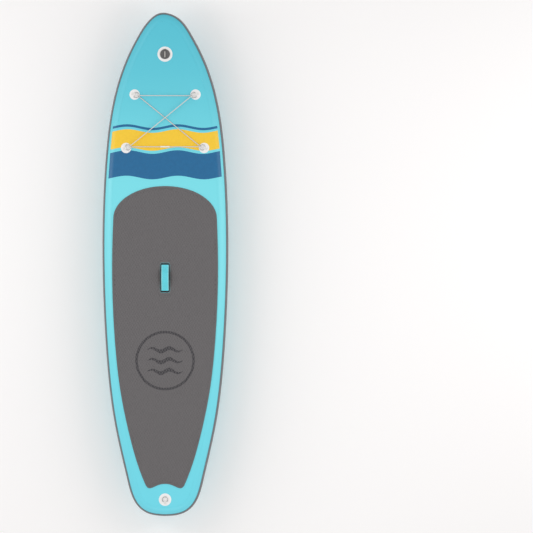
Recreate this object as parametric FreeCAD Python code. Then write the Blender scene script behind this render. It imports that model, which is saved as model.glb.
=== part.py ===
import FreeCAD, Part
import math
import os

# Inflatable stand up paddleboard, in millimetres.
# +Y points to the nose, +X to starboard (right) and +Z up through the deck.
# The origin is on the flat bottom, midway between nose and tail.

Vec = FreeCAD.Vector
X_AXIS = Vec(1, 0, 0)
Y_AXIS = Vec(0, 1, 0)
Z_AXIS = Vec(0, 0, 1)
ORIGIN = Vec(0, 0, 0)

# Board
LENGTH = 3350.0
WIDTH = 838.0
THICKNESS = 150.0
ROCKER_RUN = 560.0        # length of the nose that curves up
ROCKER_RADIUS = 1960.0
RAIL_REACH = 60.0         # how far the rounded rail reaches out past the flat panels
SKIN = 1.2                # coated fabric
SEAM_GAP = 0.05           # glue line between layers that lie on each other
PANEL_GAP = 0.25          # between the flat panels and the rounded side walls
REST_FACE_TAIL = 500.0    # the flat bottom that carries the board starts this far from the tail

# Plan of the board's edge, starboard side, as (share of half width, share of length from the nose)
PLAN = [
    (0.0, 0.0),
    (0.251, 0.0143),
    (0.434, 0.0463),
    (0.600, 0.0863),
    (0.823, 0.1719),
    (0.950, 0.2913),
    (1.000, 0.4700),
    (0.951, 0.6504),
    (0.814, 0.8100),
    (0.604, 0.9296),
    (0.425, 0.9833),
    (0.290, 0.9955),
    (0.155, 1.0),
]

# Outer rail bands
BAND_HEIGHT = 92.0
BAND_THICKNESS = 1.2
NOSE_BAND_LENGTH = 770.0
TAIL_BAND_LENGTH = 540.0
BAND_SEAM = 1.0           # open seam between two bands
BAND_GAP = 0.9            # glue line under the bands, which also takes up the walls' unevenness

# Drop-stitch yarns
YARN_DIAMETER = 2.0
YARN_SPACING = 110.0
YARN_MARGIN = 20.0

# Deck pad
PAD_THICKNESS = 5.0
PAD_NOSE = 1152.0         # arch top, from the nose
PAD_TAIL = 185.0          # distance of the tail lobes from the tail
# Pad's side, as (share of its length from the arch's top to the lobes, distance in from the board's edge)
PAD_SIDE = [
    (0.107, 72.0),
    (0.272, 65.0),
    (0.511, 64.0),
    (0.667, 71.0),
    (0.824, 85.0),
    (0.940, 100.0),
]
PAD_LOBE = 108.0          # half the distance between the tail lobes
PAD_LOBE_RADIUS = 22.0
PAD_WAVE = 17.0           # rise of the tail edge between the lobes

# Carry handle
HANDLE_FROM_NOSE = 1763.0
HANDLE_PATCH_LENGTH = 196.0
HANDLE_PATCH_WIDTH = 62.0
HANDLE_PATCH_CORNER = 10.0
HANDLE_PATCH_GAP = 2.0    # between the patch and the pad round it
WEBBING_WIDTH = 52.0
WEBBING_THICKNESS = 3.0
WEBBING_BEND = 14.0
GRIP_WIDTH = 46.0
GRIP_THICKNESS = 2.5
HANDLE_RISE = 26.0        # underside of the loop above its patch, at the highest point
HANDLE_LOOP = 150.0       # length of the loop that stands clear
HANDLE_FOOT = 18.0        # length of each sewn end
HANDLE_PEAK = 0.32        # the loop peaks this share of its half length towards the nose,
HANDLE_SAG = 0.30         # and sags from this share towards the tail,
HANDLE_DROP = 0.80        # where it is this share of its height
GRIP_LENGTH = 174.0

# Patches
PATCH = 1.2

# D-rings
RING_WIRE = 4.0
RING_WIDTH = 40.0
RING_HEIGHT = 34.0
RING_CORNER = 5.0
RING_PLAY = 0.35          # between the wire and its webbing tab
TAB_WIDTH = 16.0
TAB_THICKNESS = 1.4
TAB_LENGTH = 20.0
RING_BACK = 11.0          # a free ring's bar lies this far behind the middle of its patch

LEASH_FROM_TAIL = 108.0
LEASH_PATCH_DIAMETER = 83.0
TOW_FROM_NOSE = 243.0
TOW_PATCH_DIAMETER = 83.0

# Cargo rings and elastic cord
CARGO_PATCH_DIAMETER = 69.0
CARGO_FRONT = (203.0, 542.0)   # half spacing, distance from the nose
CARGO_REAR = (260.0, 898.0)
CARGO_RING_TILT = 12.0
CORD_DIAMETER = 6.0
CORD_PLAY = 0.4           # between the cord and the ring wire it goes round
JOINER_LENGTH = 61.0
JOINER_DIAMETER = 11.0
JOINER_EDGE = 1.5

# Inflation valve
VALVE_FROM_NOSE = 274.0
VALVE_PATCH_DIAMETER = 100.0
VALVE_BORE = 26.0         # the socket that takes the end of an inflator hose
MOUTH_STEP = 0.5          # widens the mouth above it, which the cap's plug closes
SOCKET_DEPTH = 15.0       # from the top of the neck to the socket's shoulder
SOCKET_SHOULDER = 1.5     # width of that shoulder
MOUTH_CLEARANCE = 0.5     # between the plug and the step into the socket
BARREL_DIAMETER = 40.0
BARREL_DEPTH = 42.0
BARREL_PLAY = 0.5
FLANGE_DIAMETER = 66.0
FLANGE_THICKNESS = 3.0
NECK_DIAMETER = 38.0
NECK_HEIGHT = 3.0
GASKET_DIAMETER = 56.0
GASKET_THICKNESS = 1.0
NUT_DIAMETER = 64.0
NUT_THICKNESS = 7.0
SEAT_BORE = 20.0
SEAT_THICKNESS = 3.0
POPPET_DIAMETER = 25.0
POPPET_THICKNESS = 2.5
POPPET_SEAL_THICKNESS = 1.2
STEM_DIAMETER = 4.6
STEM_GUIDE_DIAMETER = 8.0
STEM_GUIDE_LENGTH = 5.0
STEM_GUIDE_ARMS = 3
STEM_GUIDE_ARM = 2.0
STEM_PLAY = 0.1
STEM_TRAVEL = 4.0
BUTTON_DIAMETER = 10.0
BUTTON_THICKNESS = 3.0
BUTTON_DEPTH = 18.0       # button's top below the top of the flange
SPRING_WIRE = 0.8
SPRING_TURNS = 4.0
SPRING_LENGTH = 8.4
SPRING_STEPS = 12         # points that shape one turn
CAP_DIAMETER = 60.0
CAP_THICKNESS = 3.0
CAP_GRIP_WIDTH = 9.0
CAP_GRIP_HEIGHT = 5.0
CAP_GRIP_INSET = 7.0
CAP_SEAL_WIDTH = 2.5
PLUG_DEPTH = 4.0
PLUG_PLAY = 0.35
PLUG_LIP = 1.0            # plug above and below the groove for its seal
TETHER_THICKNESS = 1.6
TETHER_PLAY = 0.3
TETHER_DIAMETER = 54.0
HINGE_DIAMETER = 4.0
HINGE_WIDTH = 15.0
HINGE_EAR = 3.0
HINGE_STANDOFF = 2.5      # from the cap's edge to its hinge
HINGE_PIN_DIAMETER = 1.8
HINGE_PLAY = 0.1

# Fin and its base
FIN_FROM_TAIL = 339.0
FIN_PATCH_LENGTH = 308.0
FIN_PATCH_WIDTH = 175.0
FIN_PATCH_CORNER = 38.0
BASE_FLANGE_LENGTH = 216.0
BASE_FLANGE_WIDTH = 83.0
BASE_FLANGE_CORNER = 18.0
BASE_FLANGE_THICKNESS = 2.5
BASE_LENGTH = 198.0
BASE_WIDTH = 46.0
BASE_HEIGHT = 11.5
BASE_END_SLOPE = 20.0
BASE_HOLE_DIAMETER = 16.0
BASE_HOLE_SPACING = 142.0
SLOT_FLOOR = 3.2          # material between the patch and the slot
FOOT_WIDTH = 15.0
FOOT_THICKNESS = 3.0
ROOT_THICKNESS = 6.4
ROOT_LENGTH = 124.0
SLOT_PLAY = 0.3
FIN_DEPTH = 190.0         # from the bottom panel to the tip
FIN_SWEEP = 175.0         # how far the tip lies behind the front of the root
FIN_CHORD = 130.0         # length of the blade at its root
FIN_WAIST = 4.0           # how much shorter it is just below the root
FIN_TIP = 10.0            # length of the blunt tip
FIN_EDGE = 1.6            # thickness at the tip
FIN_SECTIONS = [0.0, 0.1, 0.2, 0.35, 0.5, 0.65, 0.8, 0.9, 0.96, 1.0]
FIN_STRAIGHT = 0.2        # share of the depth where the trailing edge starts to curve back
FIN_SLOTS = 3
FIN_SLOT_SPACING = 17.0
FIN_SLOT_SLANT = -25.0
FIN_SLOT_FROM_FRONT = 112.0
FIN_SLOT_LENGTH = 15.0
FIN_SLOT_WIDTH = 5.0
FIN_SLOT_START = 0.7      # the first slot's distance below the base, as a share of the slots' spacing

CUT = 1.0                 # how far a cutting tool runs past what it cuts
MARGIN = 10.0             # how far a slab runs past the board before it is trimmed
FLAT_END = 0.01           # flat left between two round corners that would meet

os.makedirs("parts", exist_ok=True)

NOSE = LENGTH/2
TAIL = -LENGTH/2
ROCKER_START = NOSE - ROCKER_RUN
DECK = THICKNESS


def save(name, shape):
    """One piece of the board, written under its own name."""
    shape.exportStep("parts/" + name + ".step")
    print(name, round(shape.Volume), shape.isValid(), len(shape.Solids))


def rise(y):
    """How far the rocker lifts the board at y."""
    run = max(0.0, y - ROCKER_START)
    return ROCKER_RADIUS - math.sqrt(ROCKER_RADIUS**2 - run**2)


def slope(y):
    """Angle of the board's surface at y, in degrees, nose up."""
    run = max(0.0, y - ROCKER_START)
    return math.degrees(math.asin(run/ROCKER_RADIUS))


def cylinder(diameter, z0, z1, x=0.0, y=0.0):
    """Upright cylinder between two heights."""
    return Part.makeCylinder(diameter/2, z1 - z0, Vec(x, y, z0))


def tube(outer, inner, z0, z1):
    """Upright tube on the local origin."""
    return cylinder(outer, z0, z1).cut(cylinder(inner, z0 - CUT, z1 + CUT))


def block(width, length, z0, z1, y=0.0):
    """Box centred on x = 0 and on y, between two heights."""
    return Part.makeBox(width, length, z1 - z0, Vec(-width/2, y - length/2, z0))


def rounded_block(width, length, corner, z0, z1, y=0.0):
    """Box with round upright corners."""
    box = block(width, length, z0, z1, y)
    upright = [e for e in box.Edges if abs(e.BoundBox.ZLength - (z1 - z0)) < 1e-6]
    return box.makeFillet(corner, upright)


def placed(shape, x, y, z, tilt=0.0, turn=0.0, flip=False):
    """Moves a piece from its own origin onto the board.

    flip turns its upper side down, turn swings it about its own Z, and tilt leans it with the rocker.
    """
    piece = shape.copy()
    piece.rotate(ORIGIN, Z_AXIS, turn)
    if flip:
        piece.rotate(ORIGIN, Y_AXIS, 180)
    piece.rotate(ORIGIN, X_AXIS, tilt)
    piece.translate(Vec(x, y, z))
    return piece


# ---------------------------------------------------------------- plan of the hull

starboard = [Vec(WIDTH/2*w, NOSE - LENGTH*d, 0) for w, d in PLAN]
port = [Vec(-p.x, p.y, 0) for p in reversed(starboard[1:])]
PLAN_CURVE = Part.BSplineCurve()
PLAN_CURVE.interpolate(Points=starboard + port, PeriodicFlag=True)
PLAN_START = PLAN_CURVE.FirstParameter
PLAN_SPAN = PLAN_CURVE.LastParameter - PLAN_START


def edge_point(share):
    """Point on the board's edge and the outward direction there.

    share runs from 0 at the nose over starboard to 0.5 at the tail and over port back to 1.
    """
    at = PLAN_START + (share % 1.0)*PLAN_SPAN
    along = PLAN_CURVE.tangent(at)[0]
    return PLAN_CURVE.value(at), Vec(-along.y, along.x, 0)


def inset_point(share, inset):
    """Point on the board's plan, moved in from the edge."""
    edge, outward = edge_point(share)
    return edge - outward*inset


def share_at(y, inset=0.0):
    """The share at which the starboard side, moved in by inset, passes y."""
    low = 0.0
    high = 0.5
    for _ in range(50):
        middle = (low + high)/2
        if inset_point(middle, inset).y > y:
            low = middle
        else:
            high = middle
    return low


def half_width(y, inset=0.0):
    """Half width of the board at y, less inset."""
    return inset_point(share_at(y, inset), inset).x


# ---------------------------------------------------------------- hull

RAIL_STATIONS = 144
SECTION_STEPS = 8


def layer(z0, z1, y0=TAIL - MARGIN, y1=NOSE + MARGIN):
    """Full-width slab between two heights that follows the rocker from y0 to y1."""
    reach = WIDTH/2 + MARGIN
    bend = max(y0, min(y1, ROCKER_START))
    edges = []
    for z, start, end in ((z0, y0, y1), (z1, y1, y0)):
        ends = sorted((start, end))
        run = []
        if bend > ends[0]:
            run.append(Part.LineSegment(Vec(0, ends[0], z), Vec(0, bend, z)).toShape())
        if bend < ends[1]:
            middle = (bend + ends[1])/2
            points = [Vec(0, y, z + rise(y)) for y in (bend, middle, ends[1])]
            run.append(Part.Arc(*points).toShape())
        edges += run
    for y in (y0, y1):
        edges.append(Part.LineSegment(Vec(0, y, z0 + rise(y)), Vec(0, y, z1 + rise(y))).toShape())
    profile = Part.Face(Part.Wire(Part.__sortEdges__(edges)))
    profile.translate(Vec(-reach, 0, 0))
    return profile.extrude(Vec(2*reach, 0, 0))


def plan_prism(inset, z0, z1):
    """Upright prism over the board's plan, moved in from the edge."""
    points = [inset_point(i/RAIL_STATIONS, inset) for i in range(RAIL_STATIONS)]
    curve = Part.BSplineCurve()
    curve.interpolate(Points=points, PeriodicFlag=True)
    face = Part.Face(Part.Wire(curve.toShape()))
    face.translate(Vec(0, 0, z0))
    return face.extrude(Vec(0, 0, z1 - z0))


def rail_point(share, angle, grow):
    """Point on the rounded rail: angle 0 is the outermost line, 90 the deck and -90 the bottom."""
    edge, outward = edge_point(share)
    reach = (RAIL_REACH + grow)*math.cos(angle) - RAIL_REACH
    x = edge.x + outward.x*reach
    y = edge.y + outward.y*reach
    z = THICKNESS/2 + (THICKNESS/2 + grow)*math.sin(angle) + rise(y)
    return Vec(x, y, z)


def rail_section(share, angle, inner, outer):
    """Closed section of a strip that lies on the rail from -angle to angle."""
    angles = [angle*(2*i/SECTION_STEPS - 1) for i in range(SECTION_STEPS + 1)]
    arcs = []
    for grow in (inner, outer):
        arc = Part.BSplineCurve()
        arc.interpolate([rail_point(share, a, grow) for a in angles])
        arcs.append(arc)
    ends = []
    for a in (-angle, angle):
        ends.append(Part.LineSegment(rail_point(share, a, inner), rail_point(share, a, outer)))
    return Part.Wire([arcs[0].toShape(), ends[1].toShape(), arcs[1].toShape(), ends[0].toShape()])


def rail_strip(start, end, angle, inner, outer):
    """Strip on the rail between two shares of the plan."""
    steps = max(4, round(abs(end - start)*RAIL_STATIONS))
    shares = [start + (end - start)*i/steps for i in range(steps + 1)]
    return Part.makeLoft([rail_section(s, angle, inner, outer) for s in shares], True)


def fabric_panel(z0, z1, hole=None):
    """Flat fabric panel, whose rest face has an edge of its own across the board."""
    split = TAIL + REST_FACE_TAIL
    outline = plan_prism(RAIL_REACH + PANEL_GAP, z0 - CUT, z1 + CUT + rise(NOSE))
    rear = layer(z0, z1, y1=split).common(outline)
    front = layer(z0, z1, y0=split).common(outline)
    if hole:
        front = front.cut(hole)
    return front.fuse(rear)


VALVE_Y = NOSE - VALVE_FROM_NOSE
BARREL_HOLE = BARREL_DIAMETER + 2*BARREL_PLAY


def on_deck(shape, y, x=0.0, turn=0.0):
    """Places a piece, modelled on z = 0, on the deck."""
    return placed(shape, x, y, DECK + rise(y), slope(y), turn)


def on_bottom(shape, y):
    """Places a piece, modelled on z = 0, under the board, its upper side down."""
    return placed(shape, 0, y, rise(y), slope(y), 0, True)


valve_hole = on_deck(cylinder(BARREL_HOLE, -MARGIN, MARGIN), VALVE_Y)
save("deck_panel", fabric_panel(DECK - SKIN, DECK, valve_hole))
save("bottom_panel", fabric_panel(0, SKIN))

# The two side walls meet amidships, where the board's edge is nearly straight.
QUARTER = math.pi/2
save("sidewall_fore", rail_strip(-0.25, 0.25, QUARTER, -SKIN, 0.0))
save("sidewall_aft", rail_strip(0.25, 0.75, QUARTER, -SKIN, 0.0))

band_angle = math.asin(BAND_HEIGHT/THICKNESS)
nose_share = share_at(NOSE - NOSE_BAND_LENGTH)
tail_share = share_at(TAIL + TAIL_BAND_LENGTH)
seam_share = BAND_SEAM/(2*PLAN_CURVE.length())
band_ends = {
    "nose": (-nose_share, nose_share),
    "starboard": (nose_share, tail_share),
    "tail": (tail_share, 1 - tail_share),
    "port": (1 - tail_share, 1 - nose_share),
}
for stretch, (start, end) in band_ends.items():
    band = rail_strip(start + seam_share, end - seam_share, band_angle,
                      BAND_GAP, BAND_GAP + BAND_THICKNESS)
    save("rail_band_" + stretch, band)

yarns = []
rows = int((LENGTH/2 - RAIL_REACH - YARN_MARGIN)/YARN_SPACING)
for row in range(-rows, rows + 1):
    y = row*YARN_SPACING
    columns = int((half_width(y, RAIL_REACH) - YARN_MARGIN)/YARN_SPACING)
    for column in range(-columns, columns + 1):
        x = column*YARN_SPACING
        if math.hypot(x, y - VALVE_Y) > NUT_DIAMETER:
            yarns.append(cylinder(YARN_DIAMETER, -CUT, THICKNESS + rise(NOSE), x, y))
core = layer(SKIN, DECK - SKIN).common(Part.makeCompound(yarns))
save("drop_stitch_yarns", core)

# ---------------------------------------------------------------- deck pad

HANDLE_Y = NOSE - HANDLE_FROM_NOSE


def smooth(points):
    """Smooth edge through a few points."""
    curve = Part.BSplineCurve()
    curve.interpolate(points)
    return curve.toShape()


def mirrored(points):
    """The same points on the port side, in reverse."""
    return [Vec(-p.x, p.y, p.z) for p in reversed(points)]


arch_y = NOSE - PAD_NOSE
lobe_y = TAIL + PAD_TAIL
pad_side = []
for share, inset in PAD_SIDE:
    y = arch_y + (lobe_y - arch_y)*share
    pad_side.append(Vec(half_width(y) - inset, y, DECK))
shoulder = pad_side[0]
lobe = [
    Vec(PAD_LOBE + PAD_LOBE_RADIUS, lobe_y + PAD_LOBE_RADIUS, DECK),
    Vec(PAD_LOBE, lobe_y, DECK),
    Vec(PAD_LOBE/2, lobe_y + PAD_WAVE, DECK),
]
pad_side.append(lobe[0])
arch = Part.Ellipse(Vec(0, shoulder.y, DECK), shoulder.x, arch_y - shoulder.y)
pad_edges = [
    arch.toShape(0, math.pi),
    smooth(pad_side),
    smooth(mirrored(pad_side)),
    smooth(lobe + mirrored(lobe)),
]
pad_face = Part.Face(Part.Wire(Part.__sortEdges__(pad_edges)))
pad = pad_face.extrude(Vec(0, 0, PAD_THICKNESS))
window_width = HANDLE_PATCH_WIDTH + 2*HANDLE_PATCH_GAP
window_length = HANDLE_PATCH_LENGTH + 2*HANDLE_PATCH_GAP
window_corner = HANDLE_PATCH_CORNER + HANDLE_PATCH_GAP
window = rounded_block(window_width, window_length, window_corner,
                       DECK - CUT, DECK + PAD_THICKNESS + CUT, HANDLE_Y)
save("deck_pad", pad.cut(window))

# ---------------------------------------------------------------- carry handle


def route(points, radii):
    """Wire of straight runs joined by tangent arcs, with one radius for each inner point."""
    edges = []
    start = points[0]
    for before, corner, after, radius in zip(points, points[1:], points[2:], radii):
        back = (before - corner).normalize()
        ahead = (after - corner).normalize()
        half_turn = (math.pi - back.getAngle(ahead))/2
        inward = (back + ahead).normalize()
        enter = corner + back*(radius*math.tan(half_turn))
        leave = corner + ahead*(radius*math.tan(half_turn))
        middle = corner + inward*(radius/math.cos(half_turn) - radius)
        edges.append(Part.LineSegment(start, enter).toShape())
        edges.append(Part.Arc(enter, middle, leave).toShape())
        start = leave
    edges.append(Part.LineSegment(start, points[-1]).toShape())
    return Part.Wire(edges)


def ribbon(path, start, width, low, high):
    """Flat strip whose underside runs low, and whose upper side runs high, above a path in the YZ plane."""
    corners = [(-width/2, low), (width/2, low), (width/2, high), (-width/2, high), (-width/2, low)]
    section = Part.makePolygon([start + Vec(x, 0, z) for x, z in corners])
    return path.makePipeShell([section], True, False)


patch_top = DECK + PATCH
save("handle_patch", rounded_block(HANDLE_PATCH_WIDTH, HANDLE_PATCH_LENGTH, HANDLE_PATCH_CORNER,
                                   DECK, patch_top, HANDLE_Y))
half_loop = HANDLE_LOOP/2
handle_side = [
    (half_loop + HANDLE_FOOT, 0),
    (half_loop, 0),
    (half_loop*HANDLE_PEAK, HANDLE_RISE),
    (-half_loop*HANDLE_SAG, HANDLE_RISE*HANDLE_DROP),
    (-half_loop, 0),
    (-half_loop - HANDLE_FOOT, 0),
]
handle_points = [Vec(0, HANDLE_Y + y, patch_top + z) for y, z in handle_side]
handle_path = route(handle_points, [WEBBING_BEND]*(len(handle_points) - 2))
save("handle_webbing", ribbon(handle_path, handle_points[0], WEBBING_WIDTH, 0, WEBBING_THICKNESS))
grip_low = WEBBING_THICKNESS + SEAM_GAP
grip = ribbon(handle_path, handle_points[0], GRIP_WIDTH, grip_low, grip_low + GRIP_THICKNESS)
grip_room = block(GRIP_WIDTH + 2*CUT, GRIP_LENGTH, DECK, DECK + 2*HANDLE_RISE, HANDLE_Y)
save("handle_grip", grip.common(grip_room))

# ---------------------------------------------------------------- D-ring sets

RING_AXIS = RING_WIRE/2 + RING_PLAY + TAB_THICKNESS   # height of the ring's bar above its patch
RING_HALF = (RING_WIDTH - RING_WIRE)/2
RING_REACH = RING_HEIGHT - RING_WIRE                  # from the bar to the top of the arch


def patch(diameter, low, high, y, x=0.0, hole=0.0):
    """Round fabric patch between two heights, following the rocker."""
    disc = cylinder(diameter, low - MARGIN, high + MARGIN + rise(NOSE), x, y)
    if hole:
        disc = disc.cut(cylinder(hole, low - 2*MARGIN, high + 2*MARGIN + rise(NOSE), x, y))
    return layer(low, high).common(disc)


def ring(tilt=0.0):
    """D-ring of round wire: its bar lies on the X axis and its arch points to +Y."""
    leg = RING_REACH - RING_HALF
    corner = RING_CORNER
    diagonal = corner*(1 - math.sqrt(0.5))
    edges = []
    for hand in (1, -1):
        edges.append(Part.LineSegment(Vec(0, 0, 0), Vec(hand*(RING_HALF - corner), 0, 0)))
        edges.append(Part.Arc(Vec(hand*(RING_HALF - corner), 0, 0),
                              Vec(hand*(RING_HALF - diagonal), diagonal, 0),
                              Vec(hand*RING_HALF, corner, 0)))
        edges.append(Part.LineSegment(Vec(hand*RING_HALF, corner, 0), Vec(hand*RING_HALF, leg, 0)))
    edges.append(Part.Arc(Vec(RING_HALF, leg, 0), Vec(0, RING_REACH, 0), Vec(-RING_HALF, leg, 0)))
    path = Part.Wire(Part.__sortEdges__([e.toShape() for e in edges]))
    wire = Part.Wire(Part.makeCircle(RING_WIRE/2, Vec(0, 0, 0), X_AXIS))
    whole = path.makePipeShell([wire], True, False)
    whole.rotate(ORIGIN, X_AXIS, tilt)
    whole.translate(Vec(0, 0, RING_AXIS))
    return whole


def tab():
    """Webbing folded over the ring's bar and sewn flat behind it."""
    end = 2*TAB_THICKNESS
    wedge = Part.makePolygon([
        Vec(0, 0, 0),
        Vec(0, 0, 2*RING_AXIS),
        Vec(0, -TAB_LENGTH/2, end),
        Vec(0, -TAB_LENGTH, end),
        Vec(0, -TAB_LENGTH, 0),
        Vec(0, 0, 0),
    ])
    tail = Part.Face(wedge).extrude(Vec(TAB_WIDTH, 0, 0))
    fold = Part.makeCylinder(RING_AXIS, TAB_WIDTH, Vec(0, 0, RING_AXIS), X_AXIS)
    eye = Part.makeCylinder(RING_WIRE/2 + RING_PLAY, TAB_WIDTH + 2*CUT, Vec(-CUT, 0, RING_AXIS), X_AXIS)
    whole = tail.fuse(fold).cut(eye).removeSplitter()
    whole.translate(Vec(-TAB_WIDTH/2, 0, 0))
    return whole


def raised(shape, back=0.0):
    """Lifts a ring or tab from the surface that its patch lies on to the patch's top, and moves it back."""
    shape.translate(Vec(0, -back, PATCH + SEAM_GAP))
    return shape


LEASH_Y = TAIL + LEASH_FROM_TAIL
TOW_Y = NOSE - TOW_FROM_NOSE
save("leash_patch", patch(LEASH_PATCH_DIAMETER, DECK, DECK + PATCH, LEASH_Y))
save("leash_tab", on_deck(raised(tab(), RING_BACK), LEASH_Y))
save("leash_ring", on_deck(raised(ring(), RING_BACK), LEASH_Y))
save("tow_patch", patch(TOW_PATCH_DIAMETER, -PATCH, 0, TOW_Y))
save("tow_tab", on_bottom(raised(tab(), RING_BACK), TOW_Y))
save("tow_ring", on_bottom(raised(ring(), RING_BACK), TOW_Y))

# ---------------------------------------------------------------- cargo rings and cord

front_x, front_from_nose = CARGO_FRONT
rear_x, rear_from_nose = CARGO_REAR
CARGO_PLACES = {
    "front_starboard": Vec(front_x, NOSE - front_from_nose, 0),
    "front_port": Vec(-front_x, NOSE - front_from_nose, 0),
    "rear_starboard": Vec(rear_x, NOSE - rear_from_nose, 0),
    "rear_port": Vec(-rear_x, NOSE - rear_from_nose, 0),
}
OPPOSITE = {
    "front_starboard": "rear_port",
    "front_port": "rear_starboard",
    "rear_starboard": "front_port",
    "rear_port": "front_starboard",
}


def pull(name):
    """Direction in which the cord pulls a ring: half way between its two runs."""
    here = CARGO_PLACES[name]
    across = Vec(-math.copysign(1, here.x), 0, 0)
    diagonal = (CARGO_PLACES[OPPOSITE[name]] - here).normalize()
    return (across + diagonal).normalize()


for name, place in CARGO_PLACES.items():
    direction = pull(name)
    turn = math.degrees(math.atan2(direction.y, direction.x)) - 90
    save("cargo_patch_" + name, patch(CARGO_PATCH_DIAMETER, DECK, DECK + PATCH, place.y, place.x))
    save("cargo_tab_" + name, on_deck(raised(tab()), place.y, place.x, turn))
    save("cargo_ring_" + name, on_deck(raised(ring(CARGO_RING_TILT)), place.y, place.x, turn))

tilt = math.radians(CARGO_RING_TILT)
wrap = (RING_WIRE + CORD_DIAMETER)/2 + CORD_PLAY
wire_height = DECK + PATCH + SEAM_GAP + RING_AXIS + RING_REACH*math.sin(tilt)


def round_ring(name, level):
    """Corner of the cord beside the ring it goes round: level 1 over the wire, -1 under it."""
    place = CARGO_PLACES[name]
    out = pull(name)*(RING_REACH*math.cos(tilt) - wrap)
    return Vec(place.x + out.x, place.y + out.y, wire_height + rise(place.y) + level*wrap)


# The cord starts in the joiner, in the middle of the rear run, and goes to starboard first.
around = [
    ("rear_starboard", 1),
    ("rear_starboard", -1),
    ("front_port", -1),
    ("front_port", 1),
    ("front_starboard", -1),
    ("front_starboard", 1),
    ("rear_port", 1),
    ("rear_port", -1),
]
corners = [round_ring(name, level) for name, level in around]
rear_run = (corners[0] - corners[-1]).normalize()
joiner_middle = (corners[0] + corners[-1])*0.5
cord_points = [joiner_middle + rear_run] + corners + [joiner_middle - rear_run]
cord_radii = []
for before, corner, after in zip(cord_points, cord_points[1:], cord_points[2:]):
    half_turn = (math.pi - (before - corner).getAngle(after - corner))/2
    shorter = min((before - corner).Length, (after - corner).Length)
    cord_radii.append(0.45*shorter/math.tan(half_turn))
cord_path = route(cord_points, cord_radii)
cord_section = Part.Wire(Part.makeCircle(CORD_DIAMETER/2, cord_points[0], rear_run))
cord = cord_path.makePipeShell([cord_section], True, False)
print("cord", round(cord_path.Length), "mm long, arcs", [round(r, 1) for r in cord_radii],
      "volume over section times length", cord.Volume/(cord_path.Length*math.pi*CORD_DIAMETER**2/4))
save("bungee_cord", cord)

joiner_start = joiner_middle - rear_run*(JOINER_LENGTH/2)
joiner = Part.makeCylinder(JOINER_DIAMETER/2, JOINER_LENGTH, joiner_start, rear_run)
joiner = joiner.makeFillet(JOINER_EDGE, joiner.Edges[0:1] + joiner.Edges[2:3])
joiner_bore = Part.makeCylinder(CORD_DIAMETER/2 + SEAM_GAP, JOINER_LENGTH + 2*CUT,
                                joiner_start - rear_run*CUT, rear_run)
save("bungee_joiner", joiner.cut(joiner_bore))
print("cord points", [[round(c, 1) for c in p] for p in cord_points])

# ---------------------------------------------------------------- inflation valve

# Heights along the valve's own axis, from the deck's surface.
seat = PATCH + (GASKET_DIAMETER/2)**2/(2*ROCKER_RADIUS)   # clear of the deck's curve under the gasket
flange_low = seat + GASKET_THICKNESS
flange_top = flange_low + FLANGE_THICKNESS
neck_top = flange_top + NECK_HEIGHT
plug_low = neck_top - PLUG_DEPTH
socket_top = plug_low - MOUTH_CLEARANCE
socket_low = neck_top - SOCKET_DEPTH
mouth_bore = VALVE_BORE + 2*MOUTH_STEP
chamber_bore = VALVE_BORE - 2*SOCKET_SHOULDER
seal_inner = mouth_bore - 2*CAP_SEAL_WIDTH
lip_top = SEAT_THICKNESS - BARREL_DEPTH
button_top = flange_top - BUTTON_DEPTH
button_low = button_top - BUTTON_THICKNESS
guide_top = button_low - SPRING_LENGTH
guide_low = guide_top - STEM_GUIDE_LENGTH
seal_top = -BARREL_DEPTH - SEAM_GAP
poppet_top = seal_top - POPPET_SEAL_THICKNESS


def rounded_rim(shape, top, radius):
    """Rounds the edges that lie at the top of a round piece."""
    return shape.makeFillet(radius, [e for e in shape.Edges if e.BoundBox.ZMin > top - radius/2])


patch_hole = BARREL_HOLE + 2*BARREL_PLAY
save("valve_patch", patch(VALVE_PATCH_DIAMETER, DECK, DECK + PATCH, VALVE_Y, hole=patch_hole))
save("valve_gasket", on_deck(tube(GASKET_DIAMETER, BARREL_HOLE, seat, flange_low), VALVE_Y))

flange = cylinder(FLANGE_DIAMETER, flange_low, flange_top)
flange = rounded_rim(flange, flange_top, FLANGE_THICKNESS/3)
valve_body = flange.fuse(cylinder(NECK_DIAMETER, flange_low, neck_top))
valve_body = valve_body.fuse(cylinder(BARREL_DIAMETER, -BARREL_DEPTH, flange_top - CUT))
bores = cylinder(mouth_bore, socket_top, neck_top + CUT)
bores = bores.fuse(cylinder(VALVE_BORE, socket_low, socket_top))
bores = bores.fuse(cylinder(chamber_bore, lip_top, socket_low))
bores = bores.fuse(cylinder(SEAT_BORE, -BARREL_DEPTH - CUT, lip_top))
valve_body = valve_body.cut(bores)
guide = cylinder(STEM_GUIDE_DIAMETER, guide_low, guide_top)
for arm in range(STEM_GUIDE_ARMS):
    spoke = Part.makeBox(chamber_bore/2 + CUT, STEM_GUIDE_ARM, STEM_GUIDE_LENGTH,
                         Vec(0, -STEM_GUIDE_ARM/2, guide_low))
    spoke.rotate(ORIGIN, Z_AXIS, 360*arm/STEM_GUIDE_ARMS)
    guide = guide.fuse(spoke)
guide = guide.cut(cylinder(STEM_DIAMETER + 2*STEM_PLAY, guide_low - CUT, guide_top + CUT))
save("valve_body", on_deck(valve_body.fuse(guide).removeSplitter(), VALVE_Y))
nut = tube(NUT_DIAMETER, BARREL_DIAMETER + 2*SEAM_GAP, -SKIN - NUT_THICKNESS, -SKIN)
save("valve_nut", on_deck(nut, VALVE_Y))

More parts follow.
